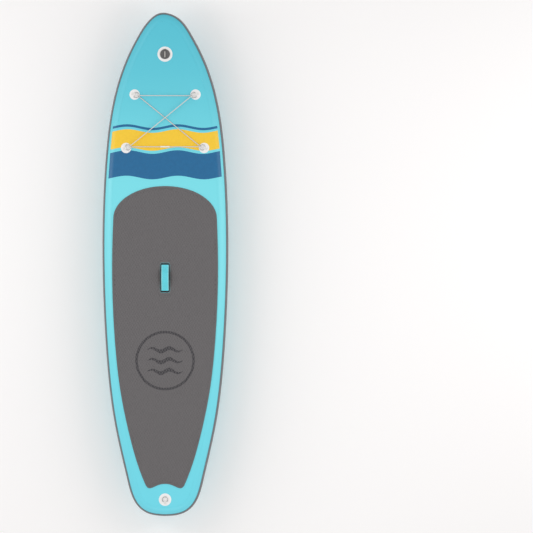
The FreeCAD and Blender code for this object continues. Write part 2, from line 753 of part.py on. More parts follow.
stem = cylinder(STEM_DIAMETER, poppet_top - POPPET_THICKNESS/2, button_low)
poppet = cylinder(POPPET_DIAMETER, poppet_top - POPPET_THICKNESS, poppet_top)
save("valve_stem", on_deck(stem.fuse(poppet).removeSplitter(), VALVE_Y))
save("valve_button", on_deck(cylinder(BUTTON_DIAMETER, button_low, button_top), VALVE_Y))
save("valve_seal", on_deck(tube(POPPET_DIAMETER, SEAT_BORE + 1, poppet_top, seal_top), VALVE_Y))

spring_radius = (STEM_GUIDE_DIAMETER - SPRING_WIRE)/2
spring_low = guide_top + SPRING_WIRE/2 + SEAM_GAP
spring_room = SPRING_LENGTH - SPRING_WIRE - 2*SEAM_GAP
spring_points = []
for step in range(int(SPRING_TURNS*SPRING_STEPS) + 1):
    turned = 2*math.pi*step/SPRING_STEPS
    up = spring_low + spring_room*step/(SPRING_TURNS*SPRING_STEPS)
    spring_points.append(Vec(spring_radius*math.cos(turned), spring_radius*math.sin(turned), up))
coil = smooth(spring_points)
coil_start = coil.tangentAt(coil.FirstParameter)
coil_section = Part.Wire(Part.makeCircle(SPRING_WIRE/2, spring_points[0], coil_start))
spring = Part.Wire(coil).makePipeShell([coil_section], True, True)
save("valve_spring", on_deck(spring, VALVE_Y))

tether_low = flange_top + SEAM_GAP
tether_top = tether_low + TETHER_THICKNESS
hinge_y = CAP_DIAMETER/2 + HINGE_STANDOFF
hinge_z = neck_top
cap_low = neck_top + SEAM_GAP
cap_top = cap_low + CAP_THICKNESS
knuckle = HINGE_WIDTH - 2*HINGE_EAR


def hinge_barrel(width, x0):
    """Round barrel on the cap's hinge axis."""
    return Part.makeCylinder(HINGE_DIAMETER/2, width, Vec(x0, hinge_y, hinge_z), X_AXIS)


def hinge_bore(radius):
    """Hole for the hinge pin, through the tether's ears and the cap's tongue."""
    return Part.makeCylinder(radius, HINGE_WIDTH + 2*CUT, Vec(-HINGE_WIDTH/2 - CUT, hinge_y, hinge_z), X_AXIS)


tether = tube(TETHER_DIAMETER, NECK_DIAMETER + 2*TETHER_PLAY, tether_low, tether_top)
for x0 in (-HINGE_WIDTH/2, HINGE_WIDTH/2 - HINGE_EAR):
    strap = Part.makeBox(HINGE_EAR, hinge_y - NECK_DIAMETER/2 - 2, TETHER_THICKNESS,
                         Vec(x0, NECK_DIAMETER/2 + 2, tether_low))
    post = Part.makeBox(HINGE_EAR, HINGE_DIAMETER/2, hinge_z - tether_low, Vec(x0, hinge_y, tether_low))
    tether = tether.fuse([strap, post, hinge_barrel(HINGE_EAR, x0)])
tether = tether.cut(hinge_bore(HINGE_PIN_DIAMETER/2))
save("valve_tether", on_deck(tether.removeSplitter(), VALVE_Y))
pin = Part.makeCylinder(HINGE_PIN_DIAMETER/2, HINGE_WIDTH, Vec(-HINGE_WIDTH/2, hinge_y, hinge_z), X_AXIS)
save("valve_cap_pin", on_deck(pin, VALVE_Y))

cap = cylinder(CAP_DIAMETER, cap_low, cap_top)
cap = rounded_rim(cap, cap_top, CAP_THICKNESS/3)
cap = cap.fuse(block(CAP_GRIP_WIDTH, CAP_DIAMETER - 2*CAP_GRIP_INSET, cap_low, cap_top + CAP_GRIP_HEIGHT))
plug = cylinder(mouth_bore - 2*PLUG_PLAY, plug_low, cap_top)
groove_low = plug_low + PLUG_LIP
groove_top = neck_top - PLUG_LIP
groove = tube(mouth_bore, seal_inner, groove_low, groove_top)
tongue = Part.makeBox(knuckle - 2*HINGE_PLAY, hinge_y - CAP_DIAMETER/2 + CUT, HINGE_DIAMETER/2 - SEAM_GAP,
                      Vec(-knuckle/2 + HINGE_PLAY, CAP_DIAMETER/2 - CUT, cap_low))
cap = cap.fuse([plug.cut(groove), tongue, hinge_barrel(knuckle - 2*HINGE_PLAY, -knuckle/2 + HINGE_PLAY)])
cap = cap.cut(hinge_bore(HINGE_PIN_DIAMETER/2 + HINGE_PLAY))
save("valve_cap", on_deck(cap.removeSplitter(), VALVE_Y))
cap_seal = tube(mouth_bore - PLUG_PLAY, seal_inner, groove_low + SEAM_GAP, groove_top - SEAM_GAP)
save("valve_cap_seal", on_deck(cap_seal, VALVE_Y))

# ---------------------------------------------------------------- fin and its base

FIN_Y = TAIL + FIN_FROM_TAIL
base_top = -PATCH
base_low = base_top - BASE_HEIGHT
slot_top = base_top - SLOT_FLOOR
foot_top = slot_top - SLOT_PLAY
foot_low = foot_top - FOOT_THICKNESS
slot_low = foot_low - SLOT_PLAY
slot_front = FIN_Y + ROOT_LENGTH/2 + SLOT_PLAY
base_rear = FIN_Y - BASE_LENGTH/2

save("fin_patch", rounded_block(FIN_PATCH_WIDTH, FIN_PATCH_LENGTH, FIN_PATCH_CORNER, base_top, 0, FIN_Y))

base_side = Part.makePolygon([
    Vec(-BASE_WIDTH/2, FIN_Y - BASE_LENGTH/2, base_top),
    Vec(-BASE_WIDTH/2, FIN_Y + BASE_LENGTH/2, base_top),
    Vec(-BASE_WIDTH/2, FIN_Y + BASE_LENGTH/2 - BASE_END_SLOPE, base_low),
    Vec(-BASE_WIDTH/2, FIN_Y - BASE_LENGTH/2 + BASE_END_SLOPE, base_low),
    Vec(-BASE_WIDTH/2, FIN_Y - BASE_LENGTH/2, base_top),
])
base = Part.Face(base_side).extrude(Vec(BASE_WIDTH, 0, 0))
base = base.fuse(rounded_block(BASE_FLANGE_WIDTH, BASE_FLANGE_LENGTH, BASE_FLANGE_CORNER,
                               base_top - BASE_FLANGE_THICKNESS, base_top, FIN_Y))
for low, high, width in (
    (slot_low, slot_top, FOOT_WIDTH),
    (base_low - CUT, slot_low + CUT, ROOT_THICKNESS),
):
    opening = Part.makeBox(width + 2*SLOT_PLAY, slot_front - base_rear + CUT, high - low,
                           Vec(-width/2 - SLOT_PLAY, base_rear - CUT, low))
    base = base.cut(opening)
for y in (FIN_Y - BASE_HOLE_SPACING/2, FIN_Y + BASE_HOLE_SPACING/2):
    base = base.cut(cylinder(BASE_HOLE_DIAMETER, base_low - CUT, base_top + CUT, 0, y))
save("fin_base", base.removeSplitter())


def fin_section(share):
    """Lens-shaped section of the fin's blade, share of the way from its root to its tip."""
    low = base_low - SLOT_PLAY
    z = low + (-FIN_DEPTH - low)*share
    lead = FIN_SWEEP*(1 - (1 - share**1.5)**(2/3))
    root = FIN_CHORD - FIN_WAIST*min(1.0, share/FIN_STRAIGHT)
    bend = max(0.0, (share - FIN_STRAIGHT)/(1 - FIN_STRAIGHT))
    trail = root + (FIN_SWEEP + FIN_TIP - root)*bend**1.6
    half = (ROOT_THICKNESS + (FIN_EDGE - ROOT_THICKNESS)*share)/2
    front = FIN_Y + FIN_CHORD/2
    ends = [Vec(0, front - lead, z), Vec(0, front - trail, z)]
    middle = front - (lead + trail)/2
    sides = [Part.Arc(ends[0], Vec(x, middle, z), ends[1]).toShape() for x in (half, -half)]
    return Part.Wire(Part.__sortEdges__(sides))


blade = Part.makeLoft([fin_section(share) for share in FIN_SECTIONS], True)
foot = block(FOOT_WIDTH, ROOT_LENGTH, foot_low, foot_top, FIN_Y)
neck = block(ROOT_THICKNESS, ROOT_LENGTH, base_low - CUT, foot_top - CUT, FIN_Y)
fin = foot.fuse([neck, blade])
for index in range(FIN_SLOTS):
    slot_y = FIN_Y + FIN_CHORD/2 - FIN_SLOT_FROM_FRONT
    slot_z = base_low - FIN_SLOT_SPACING*(index + FIN_SLOT_START)
    slot = rounded_block(FIN_SLOT_WIDTH, FIN_SLOT_LENGTH, FIN_SLOT_WIDTH/2 - FLAT_END, -MARGIN, MARGIN)
    slot.rotate(ORIGIN, Y_AXIS, 90)
    slot.rotate(ORIGIN, X_AXIS, FIN_SLOT_SLANT)
    slot.translate(Vec(0, slot_y, slot_z))
    fin = fin.cut(slot)
save("fin", fin.removeSplitter())
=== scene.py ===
import math

import bmesh
import bpy
from mathutils import Matrix, Vector
from mathutils.bvhtree import BVHTree


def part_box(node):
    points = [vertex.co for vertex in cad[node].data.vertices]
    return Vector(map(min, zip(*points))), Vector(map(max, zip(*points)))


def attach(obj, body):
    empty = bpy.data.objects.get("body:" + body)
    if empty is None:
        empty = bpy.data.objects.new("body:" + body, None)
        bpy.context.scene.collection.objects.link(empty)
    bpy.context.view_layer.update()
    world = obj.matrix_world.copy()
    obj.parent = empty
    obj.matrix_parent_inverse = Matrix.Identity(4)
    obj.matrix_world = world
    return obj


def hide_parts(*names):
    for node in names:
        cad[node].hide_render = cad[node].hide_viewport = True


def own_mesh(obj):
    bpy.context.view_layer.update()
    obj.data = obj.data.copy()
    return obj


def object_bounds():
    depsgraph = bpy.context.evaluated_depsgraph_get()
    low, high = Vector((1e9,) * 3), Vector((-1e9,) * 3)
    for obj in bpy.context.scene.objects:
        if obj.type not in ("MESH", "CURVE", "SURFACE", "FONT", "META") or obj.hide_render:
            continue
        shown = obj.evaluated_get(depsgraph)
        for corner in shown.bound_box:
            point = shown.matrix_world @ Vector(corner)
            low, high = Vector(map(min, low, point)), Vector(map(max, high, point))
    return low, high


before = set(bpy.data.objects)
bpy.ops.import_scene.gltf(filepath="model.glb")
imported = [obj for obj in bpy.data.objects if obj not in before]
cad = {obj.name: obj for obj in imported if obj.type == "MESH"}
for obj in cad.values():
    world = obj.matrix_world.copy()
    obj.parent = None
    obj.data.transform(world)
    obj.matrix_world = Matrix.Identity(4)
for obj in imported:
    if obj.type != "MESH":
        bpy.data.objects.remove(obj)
cad_low, cad_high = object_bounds()

# ---------------------------------------------------------------- studio
# The board lies deck up in a plain white studio, seen from straight above with
# a long lens, its nose towards the top of the view and its middle left of it.
CAMERA_HEIGHT = 20.0
VIEW_SIDE = 3.566         # width of the view at the height of the board's edge
CAMERA_ASIDE = 0.676      # to starboard of the board's middle
CAMERA_BACK = 0.013
SENSOR = 36.0
RAIL_HEIGHT = 0.075

camera_data = bpy.data.cameras.new("camera")
camera_data.sensor_width = SENSOR
camera_data.lens = SENSOR*(CAMERA_HEIGHT - RAIL_HEIGHT)/VIEW_SIDE
camera_data.clip_start = 1.0
camera_data.clip_end = 100.0
camera = bpy.data.objects.new("camera", camera_data)
camera.location = (CAMERA_ASIDE, -CAMERA_BACK, CAMERA_HEIGHT)
bpy.context.scene.collection.objects.link(camera)
bpy.context.scene.camera = camera
bpy.context.scene.view_settings.view_transform = "Standard"


def area_light(name, place, size, length, watts):
    """Soft box that shines at the middle of the board."""
    data = bpy.data.lights.new(name, "AREA")
    data.shape = "RECTANGLE"
    data.size = size
    data.size_y = length
    data.energy = watts
    lamp = bpy.data.objects.new(name, data)
    lamp.location = place
    lamp.rotation_euler = (-Vector(place)).to_track_quat("-Z", "Y").to_euler()
    bpy.context.scene.collection.objects.link(lamp)


area_light("soft_box_port", (-3.6, 0.8, 3.4), 1.2, 4.5, 54)
area_light("soft_box_starboard", (3.8, 0.4, 3.0), 1.2, 4.5, 47)
area_light("soft_box_tail", (0.2, -4.6, 3.6), 2.5, 1.6, 21)

world = bpy.data.worlds.new("studio")
world.use_nodes = True
world.node_tree.nodes["Background"].inputs["Color"].default_value = (1.0, 1.0, 1.0, 1.0)
world.node_tree.nodes["Background"].inputs["Strength"].default_value = 0.72
bpy.context.scene.world = world

FLOOR_SIDE = 60.0
floor_mesh = bpy.data.meshes.new("floor")
floor_bm = bmesh.new()
bmesh.ops.create_grid(floor_bm, x_segments=1, y_segments=1, size=FLOOR_SIDE/2)
bmesh.ops.translate(floor_bm, vec=(0, 0, cad_low.z - 0.001), verts=floor_bm.verts)
floor_bm.to_mesh(floor_mesh)
floor_bm.free()
floor = bpy.data.objects.new("floor", floor_mesh)
bpy.context.scene.collection.objects.link(floor)
floor_paint = bpy.data.materials.new("studio_floor")
floor_paint.use_nodes = True
floor_shader = floor_paint.node_tree.nodes["Principled BSDF"]
floor_shader.inputs["Base Color"].default_value = (0.99, 0.97, 0.965, 1.0)
floor_shader.inputs["Roughness"].default_value = 0.9
floor_shader.inputs["Specular IOR Level"].default_value = 0.1
floor_mesh.materials.append(floor_paint)


# ---------------------------------------------------------------- cargo cord
# One elastic cord of pale braided polyester goes through the four cargo rings,
# across, over the diagonals and back. A white moulded sleeve joins its two ends
# in the middle of the rear run, so both ends of the cord are inside the sleeve.
def linear(code):
    """Linear colour of a six-digit screen colour."""
    parts = [int(code[i:i + 2], 16)/255 for i in (0, 2, 4)]
    return tuple(p/12.92 if p <= 0.04045 else ((p + 0.055)/1.055)**2.4 for p in parts)


def finish(name, code, roughness, vary=0.08, spots=60.0, metallic=0.0, gloss=0.5):
    """Material whose colour and roughness both vary a little over the piece."""
    paint = bpy.data.materials.new(name)
    paint.use_nodes = True
    tree = paint.node_tree
    shader = tree.nodes["Principled BSDF"]
    shader.inputs["Metallic"].default_value = metallic
    shader.inputs["Specular IOR Level"].default_value = gloss
    place = tree.nodes.new("ShaderNodeTexCoord")
    spread = tree.nodes.new("ShaderNodeTexNoise")
    spread.inputs["Scale"].default_value = spots
    spread.inputs["Detail"].default_value = 5.0
    tree.links.new(place.outputs["Object"], spread.inputs["Vector"])
    ramp = tree.nodes.new("ShaderNodeValToRGB")
    colour = linear(code)
    for stop, at, scale in zip(ramp.color_ramp.elements, (0.3, 0.7), (1 - vary, 1 + vary)):
        stop.position = at
        stop.color = (*[min(1.0, c*scale) for c in colour], 1.0)
    tree.links.new(spread.outputs["Fac"], ramp.inputs["Fac"])
    tree.links.new(ramp.outputs["Color"], shader.inputs["Base Color"])
    sheen = tree.nodes.new("ShaderNodeMapRange")
    sheen.inputs["To Min"].default_value = roughness*0.88
    sheen.inputs["To Max"].default_value = min(1.0, roughness*1.12)
    tree.links.new(spread.outputs["Fac"], sheen.inputs["Value"])
    tree.links.new(sheen.outputs["Result"], shader.inputs["Roughness"])
    return paint


def emboss(paint, texture, height):
    """Adds a relief of that height, in metres, on top of what the material has."""
    tree = paint.node_tree
    shader = tree.nodes["Principled BSDF"]
    bump = tree.nodes.new("ShaderNodeBump")
    bump.inputs["Distance"].default_value = height
    tree.links.new(texture, bump.inputs["Height"])
    if shader.inputs["Normal"].is_linked:
        tree.links.new(shader.inputs["Normal"].links[0].from_socket, bump.inputs["Normal"])
    tree.links.new(bump.outputs["Normal"], shader.inputs["Normal"])


def threads(paint, pitch, height, directions=("X", "Y"), turn=0.0):
    """Adds the relief of a weave whose threads lie pitch apart."""
    tree = paint.node_tree
    place = tree.nodes.new("ShaderNodeTexCoord")
    turned = tree.nodes.new("ShaderNodeMapping")
    turned.inputs["Rotation"].default_value = (0.0, 0.0, turn)
    tree.links.new(place.outputs["Object"], turned.inputs["Vector"])
    waves = []
    for direction in directions:
        wave = tree.nodes.new("ShaderNodeTexWave")
        wave.bands_direction = direction
        wave.inputs["Scale"].default_value = 2*math.pi/(20*pitch)
        tree.links.new(turned.outputs["Vector"], wave.inputs["Vector"])
        waves.append(wave.outputs["Fac"])
    if len(waves) == 1:
        emboss(paint, waves[0], height)
        return
    both = tree.nodes.new("ShaderNodeMath")
    both.operation = "MULTIPLY"
    tree.links.new(waves[0], both.inputs[0])
    tree.links.new(waves[1], both.inputs[1])
    emboss(paint, both.outputs["Value"], height)


def grain(paint, spots, height):
    """Adds the relief of a fine irregular grain."""
    tree = paint.node_tree
    place = tree.nodes.new("ShaderNodeTexCoord")
    noise = tree.nodes.new("ShaderNodeTexNoise")
    noise.inputs["Scale"].default_value = spots
    noise.inputs["Detail"].default_value = 3.0
    tree.links.new(place.outputs["Object"], noise.inputs["Vector"])
    emboss(paint, noise.outputs["Fac"], height)


def piece(name, bm, paint, body, smooth=40.0, stands_for=()):
    """Turns a bmesh into a finished piece of the board."""
    bmesh.ops.remove_doubles(bm, verts=bm.verts, dist=1e-6)
    mesh = bpy.data.meshes.new(name)
    bm.to_mesh(mesh)
    bm.free()
    mesh.materials.append(paint)
    mesh.shade_smooth()
    mesh.set_sharp_from_angle(angle=math.radians(smooth))
    made = bpy.data.objects.new(name, mesh)
    bpy.context.scene.collection.objects.link(made)
    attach(made, body)
    if stands_for:
        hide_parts(*stands_for)
    return made


CORD_DIAMETER = 0.006
cord_route = [
    (0.0010, 0.7847, 0.1613),
    (0.2016, 0.7847, 0.1674),
    (0.2376, 0.7847, 0.1679),
    (0.2376, 0.7847, 0.1546),
    (0.2098, 0.8074, 0.1546),
    (-0.1526, 1.1024, 0.1546),
    (-0.1806, 1.1253, 0.1546),
    (-0.1806, 1.1253, 0.1680),
    (-0.1446, 1.1253, 0.1678),
    (0.1446, 1.1253, 0.1548),
    (0.1806, 1.1253, 0.1546),
    (0.1806, 1.1253, 0.1680),
    (0.1526, 1.1024, 0.1680),
    (-0.2098, 0.8074, 0.1680),
    (-0.2376, 0.7847, 0.1679),
    (-0.2376, 0.7847, 0.1546),
    (-0.2016, 0.7847, 0.1551),
    (-0.0010, 0.7847, 0.1612),
]
cord_curve = bpy.data.curves.new("cargo_cord", "CURVE")
cord_curve.dimensions = "3D"
cord_line = cord_curve.splines.new("NURBS")
cord_line.points.add(len(cord_route) - 1)
for point, place in zip(cord_line.points, cord_route):
    point.co = (*place, 1.0)
cord_line.order_u = 3
cord_line.use_endpoint_u = True
cord_curve.resolution_u = 16
cord_curve.bevel_depth = CORD_DIAMETER/2
cord_curve.bevel_resolution = 5
cord_curve.use_fill_caps = True
cord_paint = finish("braided_elastic", "DAD7D2", 0.75, 0.10, 900.0)
threads(cord_paint, 0.0022, 0.0005, turn=math.radians(20))
cord_curve.materials.append(cord_paint)
cargo_cord = bpy.data.objects.new("cargo_cord", cord_curve)
bpy.context.scene.collection.objects.link(cargo_cord)
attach(cargo_cord, "board")
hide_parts("bungee_cord")

SLEEVE_COLLAR = 0.0045
SLEEVE_RIBS = 5
sleeve_low, sleeve_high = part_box("bungee_joiner")
sleeve_middle = (sleeve_low + sleeve_high)/2
sleeve_half = (sleeve_high.x - sleeve_low.x)/2
sleeve_radius = (sleeve_high.y - sleeve_low.y)/2
sleeve_profile = [
    (-sleeve_half, 0.0033),
    (-sleeve_half, sleeve_radius*0.84),
    (-sleeve_half + 0.0009, sleeve_radius),
    (-sleeve_half + SLEEVE_COLLAR, sleeve_radius),
    (-sleeve_half + SLEEVE_COLLAR + 0.001, sleeve_radius*0.86),
]
for rib in range(SLEEVE_RIBS):
    along = (rib - (SLEEVE_RIBS - 1)/2)*0.0042
    sleeve_profile += [(along - 0.0013, sleeve_radius*0.86), (along - 0.0006, sleeve_radius*0.96)]
    sleeve_profile += [(along + 0.0006, sleeve_radius*0.96), (along + 0.0013, sleeve_radius*0.86)]
sleeve_profile += [(-x, r) for x, r in reversed(sleeve_profile[:5])]
sleeve_bm = bmesh.new()
sleeve_verts = [sleeve_bm.verts.new((x, 0, r)) for x, r in sleeve_profile]
sleeve_edges = [sleeve_bm.edges.new(pair) for pair in zip(sleeve_verts, sleeve_verts[1:] + sleeve_verts[:1])]
bmesh.ops.spin(sleeve_bm, geom=sleeve_verts + sleeve_edges, cent=(0, 0, 0), axis=(1, 0, 0),
               angle=2*math.pi, steps=32, use_merge=True)
bmesh.ops.recalc_face_normals(sleeve_bm, faces=sleeve_bm.faces)
sleeve_tilt = math.atan2(0.1674 - 0.1551, 0.4032)
bmesh.ops.rotate(sleeve_bm, cent=(0, 0, 0), matrix=Matrix.Rotation(-sleeve_tilt, 3, "Y"),
                 verts=sleeve_bm.verts)
bmesh.ops.translate(sleeve_bm, vec=sleeve_middle, verts=sleeve_bm.verts)
sleeve_paint = finish("white_moulding", "EFEDEC", 0.42, 0.03, 300.0)
grain(sleeve_paint, 1500.0, 0.00005)
sleeve = piece("bungee_sleeve", sleeve_bm, sleeve_paint, "board", 35.0, ["bungee_joiner"])

# ---------------------------------------------------------------- hull
# Two flat panels of drop-stitch fabric, with a teal PVC coat, are joined all
# round by rounded side walls of the same fabric. The colour is printed on the
# coat, deeper at the nose and paler towards the tail.
DECK = 0.150
ROCKER_START = 1.115
ROCKER_RADIUS = 1.960
HULL_NOSE = "49BDD2"
HULL_MIDDLE = "79DFEA"
HULL_TAIL = "6BD9EB"


def rise(y):
    """How far the rocker lifts the board at y."""
    run = max(0.0, y - ROCKER_START)
    return ROCKER_RADIUS - math.sqrt(ROCKER_RADIUS**2 - run**2)


hull_paint = finish("teal_coated_fabric", HULL_MIDDLE, 0.36, 0.04, 7.0)
hull_tree = hull_paint.node_tree
hull_place = hull_tree.nodes.new("ShaderNodeTexCoord")
hull_split = hull_tree.nodes.new("ShaderNodeSeparateXYZ")
hull_along = hull_tree.nodes.new("ShaderNodeMapRange")
hull_along.inputs["From Min"].default_value = cad_low.y
hull_along.inputs["From Max"].default_value = cad_high.y
hull_ramp = hull_tree.nodes.new("ShaderNodeValToRGB")
hull_ramp.color_ramp.elements[0].color = (*linear(HULL_TAIL), 1.0)
hull_ramp.color_ramp.elements[1].color = (*linear(HULL_NOSE), 1.0)
for at, code in ((0.42, HULL_MIDDLE), (0.66, HULL_MIDDLE), (0.88, "56C5D8")):
    stop = hull_ramp.color_ramp.elements.new(at)
    stop.color = (*linear(code), 1.0)
hull_mix = hull_tree.nodes.new("ShaderNodeMix")
hull_mix.data_type = "RGBA"
hull_mix.inputs["Factor"].default_value = 0.12
hull_shader = hull_tree.nodes["Principled BSDF"]
hull_noise_colour = hull_shader.inputs["Base Color"].links[0].from_socket
hull_tree.links.new(hull_place.outputs["Object"], hull_split.inputs["Vector"])
hull_tree.links.new(hull_split.outputs["Y"], hull_along.inputs["Value"])
hull_tree.links.new(hull_along.outputs["Result"], hull_ramp.inputs["Fac"])
hull_tree.links.new(hull_ramp.outputs["Color"], hull_mix.inputs["A"])
hull_tree.links.new(hull_noise_colour, hull_mix.inputs["B"])
hull_tree.links.new(hull_mix.outputs["Result"], hull_shader.inputs["Base Color"])
threads(hull_paint, 0.0016, 0.00006)
grain(hull_paint, 700.0, 0.00010)


def coat(node, paint):
    """Gives a CAD piece that is shown as it is its own material."""
    mesh = cad[node].data
    mesh.materials.clear()
    mesh.materials.append(paint)


for node in ("deck_panel", "bottom_panel", "sidewall_fore", "sidewall_aft"):
    coat(node, hull_paint)

# ---------------------------------------------------------------- yarns
# White spun polyester yarns run from the deck panel to the bottom panel and
# hold them apart, all over the inside. They are woven into both panels.
yarn_paint = finish("white_yarn", "E4E4E0", 0.85, 0.08, 500.0)
threads(yarn_paint, 0.0012, 0.0002, ("DIAGONAL",))
coat("drop_stitch_yarns", yarn_paint)

# ---------------------------------------------------------------- rail bands
# A second layer of grey coated fabric is glued round the edge in four lengths,
# a nose piece, a tail piece and one down each side. It takes the knocks, so
# its coat is coarser and has dull scuffs.
band_paint = finish("grey_rail_fabric", "6F6E71", 0.55, 0.07, 25.0)
threads(band_paint, 0.0018, 0.00012)
grain(band_paint, 500.0, 0.00020)
for node in ("rail_band_nose", "rail_band_tail", "rail_band_port", "rail_band_starboard"):
    coat(node, band_paint)

# ---------------------------------------------------------------- deck pad
# A 5 mm sheet of grey EVA foam is stuck to the deck where the feet stand, with
# a window round the handle. Its edge is bevelled, a plain border runs inside
# it, and the rest is cut with crossed grooves into low diamonds.
PAD_CHAMFER = 0.0018
PAD_CHAMFER_DROP = 0.0012
PAD_BORDER = 0.0105
GROOVE_DEPTH = 0.0012
GROOVE_HALF = 0.0011
DIAMOND_WIDTH = 0.018
DIAMOND_LENGTH = 0.030
pad_low, pad_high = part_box("deck_pad")
pad_edge_z = pad_high.z - GROOVE_DEPTH - PAD_CHAMFER_DROP

pad_bm = bmesh.new()
pad_bm.from_mesh(cad["deck_pad"].data)
field_layer = pad_bm.faces.layers.int.new("field")
bmesh.ops.remove_doubles(pad_bm, verts=pad_bm.verts, dist=1e-5)
rims = {e for e in pad_bm.edges if all(v.co.z > pad_high.z - 1e-4 for v in e.verts)
        and sum(f.normal.z > 0.5 for f in e.link_faces) == 1}
bmesh.ops.delete(pad_bm, geom=list(pad_bm.faces), context="FACES_ONLY")
bmesh.ops.delete(pad_bm, geom=[e for e in pad_bm.edges if e not in rims], context="EDGES")
bmesh.ops.delete(pad_bm, geom=[v for v in pad_bm.verts if not v.link_edges], context="VERTS")
bmesh.ops.dissolve_limit(pad_bm, angle_limit=math.radians(0.4), verts=pad_bm.verts, edges=pad_bm.edges)
bmesh.ops.triangle_fill(pad_bm, edges=pad_bm.edges, use_beauty=True, normal=(0, 0, 1))
window_low, window_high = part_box("handle_patch")   # the patch fills the pad's window
window_y = (window_low.y + window_high.y)/2
bmesh.ops.bisect_plane(pad_bm, geom=pad_bm.verts[:] + pad_bm.edges[:] + pad_bm.faces[:], dist=1e-7,
                       plane_co=(0, window_y, 0), plane_no=(0, 1, 0))
for hand in (-1, 1):
    half = [f for f in pad_bm.faces if (f.calc_center_median().y - window_y)*hand > 0]
    bmesh.ops.dissolve_faces(pad_bm, faces=half)
for f in pad_bm.faces:
    if f.normal.z < 0:
        f.normal_flip()
for v in pad_bm.verts:
    v.co.z = pad_edge_z
bmesh.ops.inset_region(pad_bm, faces=pad_bm.faces, thickness=PAD_CHAMFER, depth=PAD_CHAMFER_DROP,
                       use_boundary=True, use_even_offset=True)
top_z = pad_edge_z + PAD_CHAMFER_DROP
field = [f for f in pad_bm.faces if all(abs(v.co.z - top_z) < 1e-5 for v in f.verts)]
bmesh.ops.inset_region(pad_bm, faces=field, thickness=PAD_BORDER, use_boundary=True, use_even_offset=True)
for f in field:
    f[field_layer] = 1
slant = math.atan2(DIAMOND_WIDTH, DIAMOND_LENGTH)
spacing = DIAMOND_WIDTH*math.cos(slant)
reach = math.hypot(pad_high.x, pad_high.y - pad_low.y)
for hand in (-1, 1):
    across = Vector((math.cos(slant), hand*math.sin(slant), 0))
    for line in range(-int(reach/spacing), int(reach/spacing) + 1):
        cells = [f for f in pad_bm.faces if f[field_layer] == 1]
        corners = list(dict.fromkeys(v for f in cells for v in f.verts))
        sides = list(dict.fromkeys(e for f in cells for e in f.edges))
        spans = [v.co.dot(across) for v in corners]
        if min(spans) < line*spacing < max(spans):
            bmesh.ops.bisect_plane(pad_bm, geom=corners + sides + cells, dist=1e-6,
                                   plane_co=across*(line*spacing), plane_no=across)
middle_cuts = [e for e in pad_bm.edges if all(abs(v.co.y - window_y) < 2e-5 for v in e.verts)
               and len(e.link_faces) == 2 and all(f[field_layer] == 1 for f in e.link_faces)]
bmesh.ops.dissolve_edges(pad_bm, edges=middle_cuts, use_verts=True)
whole = DIAMOND_WIDTH*DIAMOND_LENGTH/2
cells = [f for f in pad_bm.faces if f[field_layer] == 1 and f.calc_area() > GROOVE_HALF*f.calc_perimeter()]
full = [f for f in cells if abs(f.calc_area() - whole) < whole/50]
cut_short = [f for f in cells if abs(f.calc_area() - whole) >= whole/50]
for group, even in ((full, True), (cut_short, False)):
    bmesh.ops.inset_individual(pad_bm, faces=group, thickness=GROOVE_HALF, depth=GROOVE_DEPTH,
                               use_even_offset=even)
border = [e for e in pad_bm.edges if len(e.link_faces) == 1]
grown = bmesh.ops.extrude_edge_only(pad_bm, edges=border)["geom"]
skirt = [v for v in grown if isinstance(v, bmesh.types.BMVert)]
for v in skirt:
    v.co.z = pad_low.z
bmesh.ops.triangle_fill(pad_bm, edges=[e for e in grown if isinstance(e, bmesh.types.BMEdge)
                                       and all(abs(v.co.z - pad_low.z) < 1e-7 for v in e.verts)],
                        use_beauty=True, normal=(0, 0, -1))
bmesh.ops.recalc_face_normals(pad_bm, faces=pad_bm.faces)
pad_paint = finish("grey_eva_foam", "6C696A", 0.82, 0.16, 900.0, gloss=0.3)
grain(pad_paint, 1300.0, 0.0008)
grain(pad_paint, 220.0, 0.0010)
piece("standing_pad", pad_bm, pad_paint, "board", 20.0, ["deck_pad"])

# ---------------------------------------------------------------- carry handle
# A loop of black nylon webbing is sewn at both ends to a fabric patch in the
# pad's window. A soft teal cover, bound along its edges with a paler tape,
# pads the loop. The feet are sewn with a box and a cross.
STITCH_LENGTH = 0.0032
STITCH_GAP = 0.0014
STITCH_RADIUS = 0.0004


def stitch_row(bm, start, end, lift=lambda x, y: 0.0):
    """Row of single stitches between two places on a surface of that height."""
    run = Vector(end) - Vector(start)
    count = max(1, int(run.length/(STITCH_LENGTH + STITCH_GAP)))
    for index in range(count):
        middle = Vector(start) + run*((index + 0.5)/count)
        ahead = middle + run.normalized()*STITCH_LENGTH/2
        behind = middle - run.normalized()*STITCH_LENGTH/2
        ahead.z = lift(ahead.x, ahead.y)
        behind.z = lift(behind.x, behind.y)
        middle.z = (ahead.z + behind.z)/2
        turn = (ahead - behind).to_track_quat("X", "Z").to_matrix().to_4x4()
        shape = Matrix.Translation(middle) @ turn @ Matrix.Diagonal((STITCH_LENGTH/2, STITCH_RADIUS*1.4,
                                                                     STITCH_RADIUS, 1.0))
        bmesh.ops.create_uvsphere(bm, u_segments=6, v_segments=5, radius=1.0, matrix=shape)


def height_of(node):
    """Function that gives the upper and the lower height of a CAD piece at x, y."""
    shell = bmesh.new()
    shell.from_mesh(cad[node].data)
    tree = BVHTree.FromBMesh(shell)
    shell.free()

    def height(x, y, under=False):
        side = -1.0 if under else 1.0
        hit = tree.ray_cast(Vector((x, y, side)), Vector((0, 0, -side)))[0]
        return hit.z if hit else None
    return height


